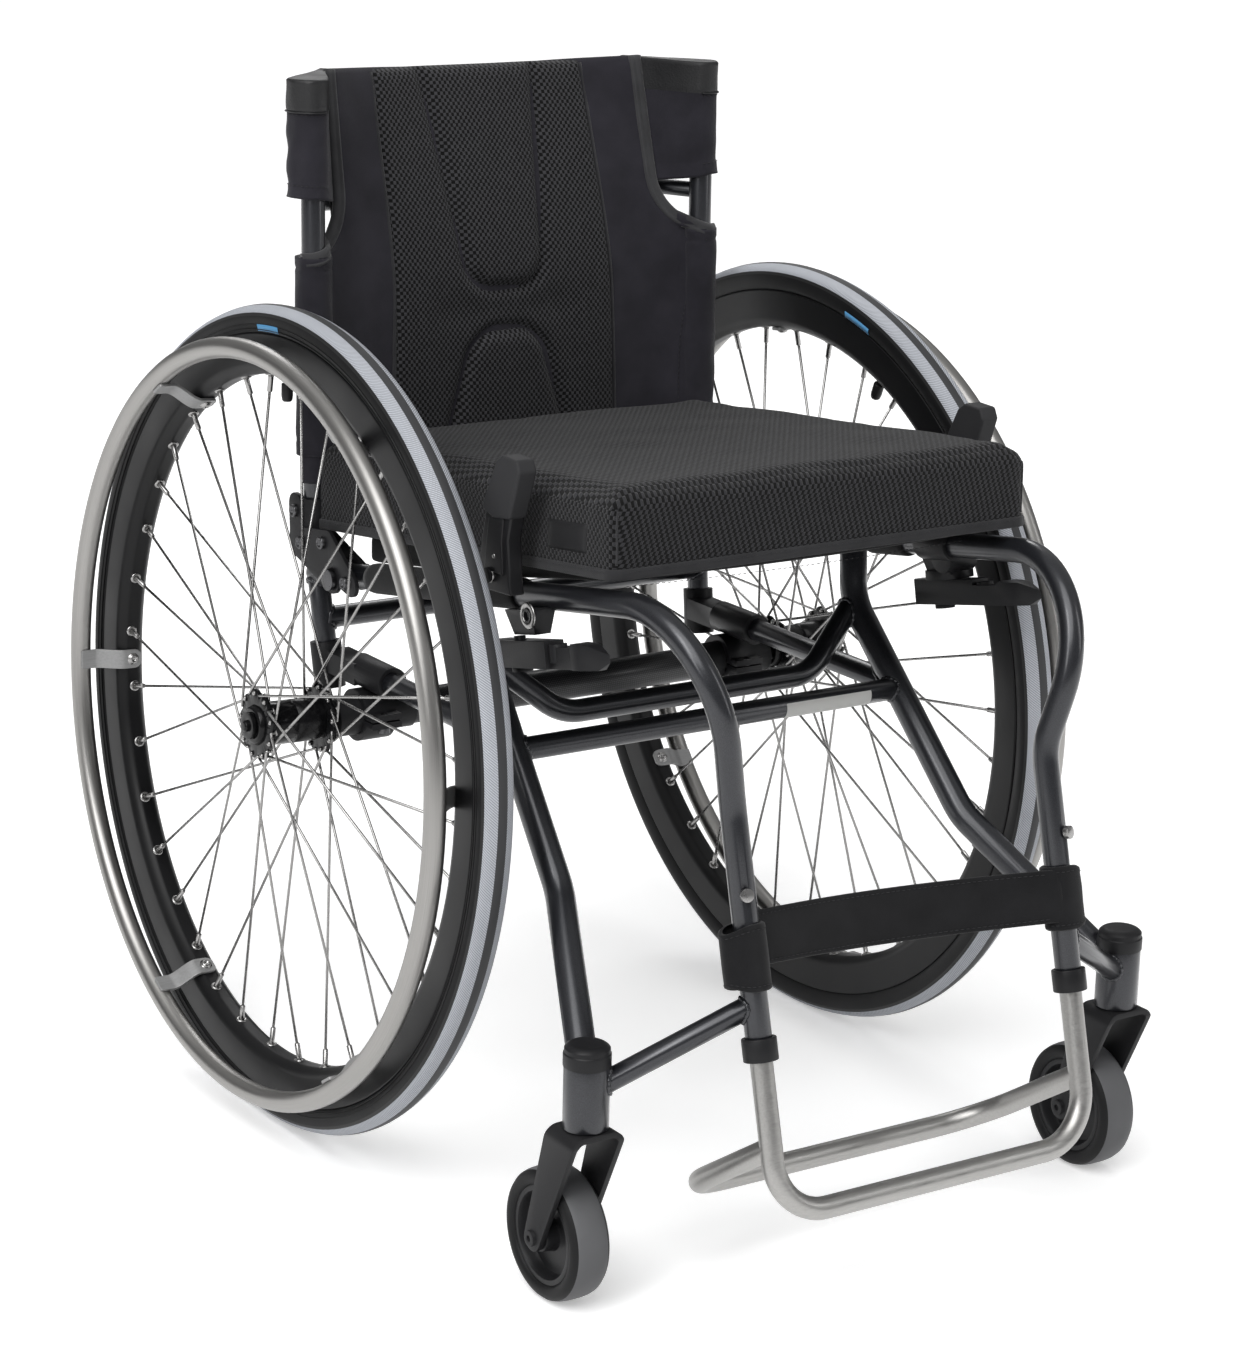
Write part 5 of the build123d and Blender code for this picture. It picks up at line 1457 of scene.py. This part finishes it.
# ------------------------------------------------------------------ carried-over CAD nodes
CAD_FINISH = {
    "paint": (
        "side_tube_left", "side_tube_right", "leg_tube_left", "leg_tube_right", "cross_tube", "support_tube",
        "axle_stays", "rear_posts", "rear_cross_tube", "caster_housings", "caster_struts", "back_posts",
        "back_bar",
    ),
    "cast": ("axle_clamps", "hinge_plates", "brake_brackets", "brake_arm_left", "brake_arm_right"),
    "carbon": ("axle_tube",),
    "alloy": ("axle_sleeves", "caster_fork_left", "caster_fork_right"),
    "footrest": ("footrest_tube", "footrest_rear_tube"),
    "spoke": ("footrest_screws", "caster_bearings"),
    "dark_steel": ("clamp_bolts", "hinge_pivots"),
    "hub": ("axle_pin_left", "axle_pin_right", "axle_button_left", "axle_button_right"),
    "plastic": ("caster_wheel_left", "caster_wheel_right", "caster_caps", "footrest_collars"),
}
CAD_BEVEL = {  # millimetres, for the nodes whose edges are rounder than FINE_BEVEL
    "axle_clamps": 1.2, "brake_brackets": 0.7, "hinge_plates": 0.6, "caster_caps": 0.6,
    "footrest_collars": 0.7,
}
FINE_BEVEL = 0.35


def finish_cad():
    """Materials and small bevels for the CAD nodes that are shown as they are."""
    for look, names in CAD_FINISH.items():
        for name in names:
            node = frame["nodes"][name]
            if node.data.materials:
                node.data.materials[0] = LOOKS[look]
            else:
                node.data.materials.append(LOOKS[look])
            smooth(node.data)
            width = CAD_BEVEL.get(name, FINE_BEVEL) * MM
            modify(node, "WELD", merge_threshold=2e-5)
            modify(node, "BEVEL", width=width, segments=2, limit_method="ANGLE", angle_limit=radians(35))
            modify(node, "EDGE_SPLIT", split_angle=radians(32))


make_camera()
make_studio()
LOOKS = make_materials()
finish_cad()
for name, side in SIDES:
    for make in (make_tyre, make_rim, make_spokes, make_hub, make_handrim, make_tabs, make_caster_tyre):
        make(name)
    make_lever(name, side)
    make_bracket_rings(name, side)
make_cover()
make_pad()
make_back_sling()
make_cushion()
make_seat_sling()
make_calf_strap()
make_welds()
make_label()
make_screws()

boxes = {"cad": CAD_BOX, "visual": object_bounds()}
{key: [list(corner) for corner in box] for key, box in boxes.items()}
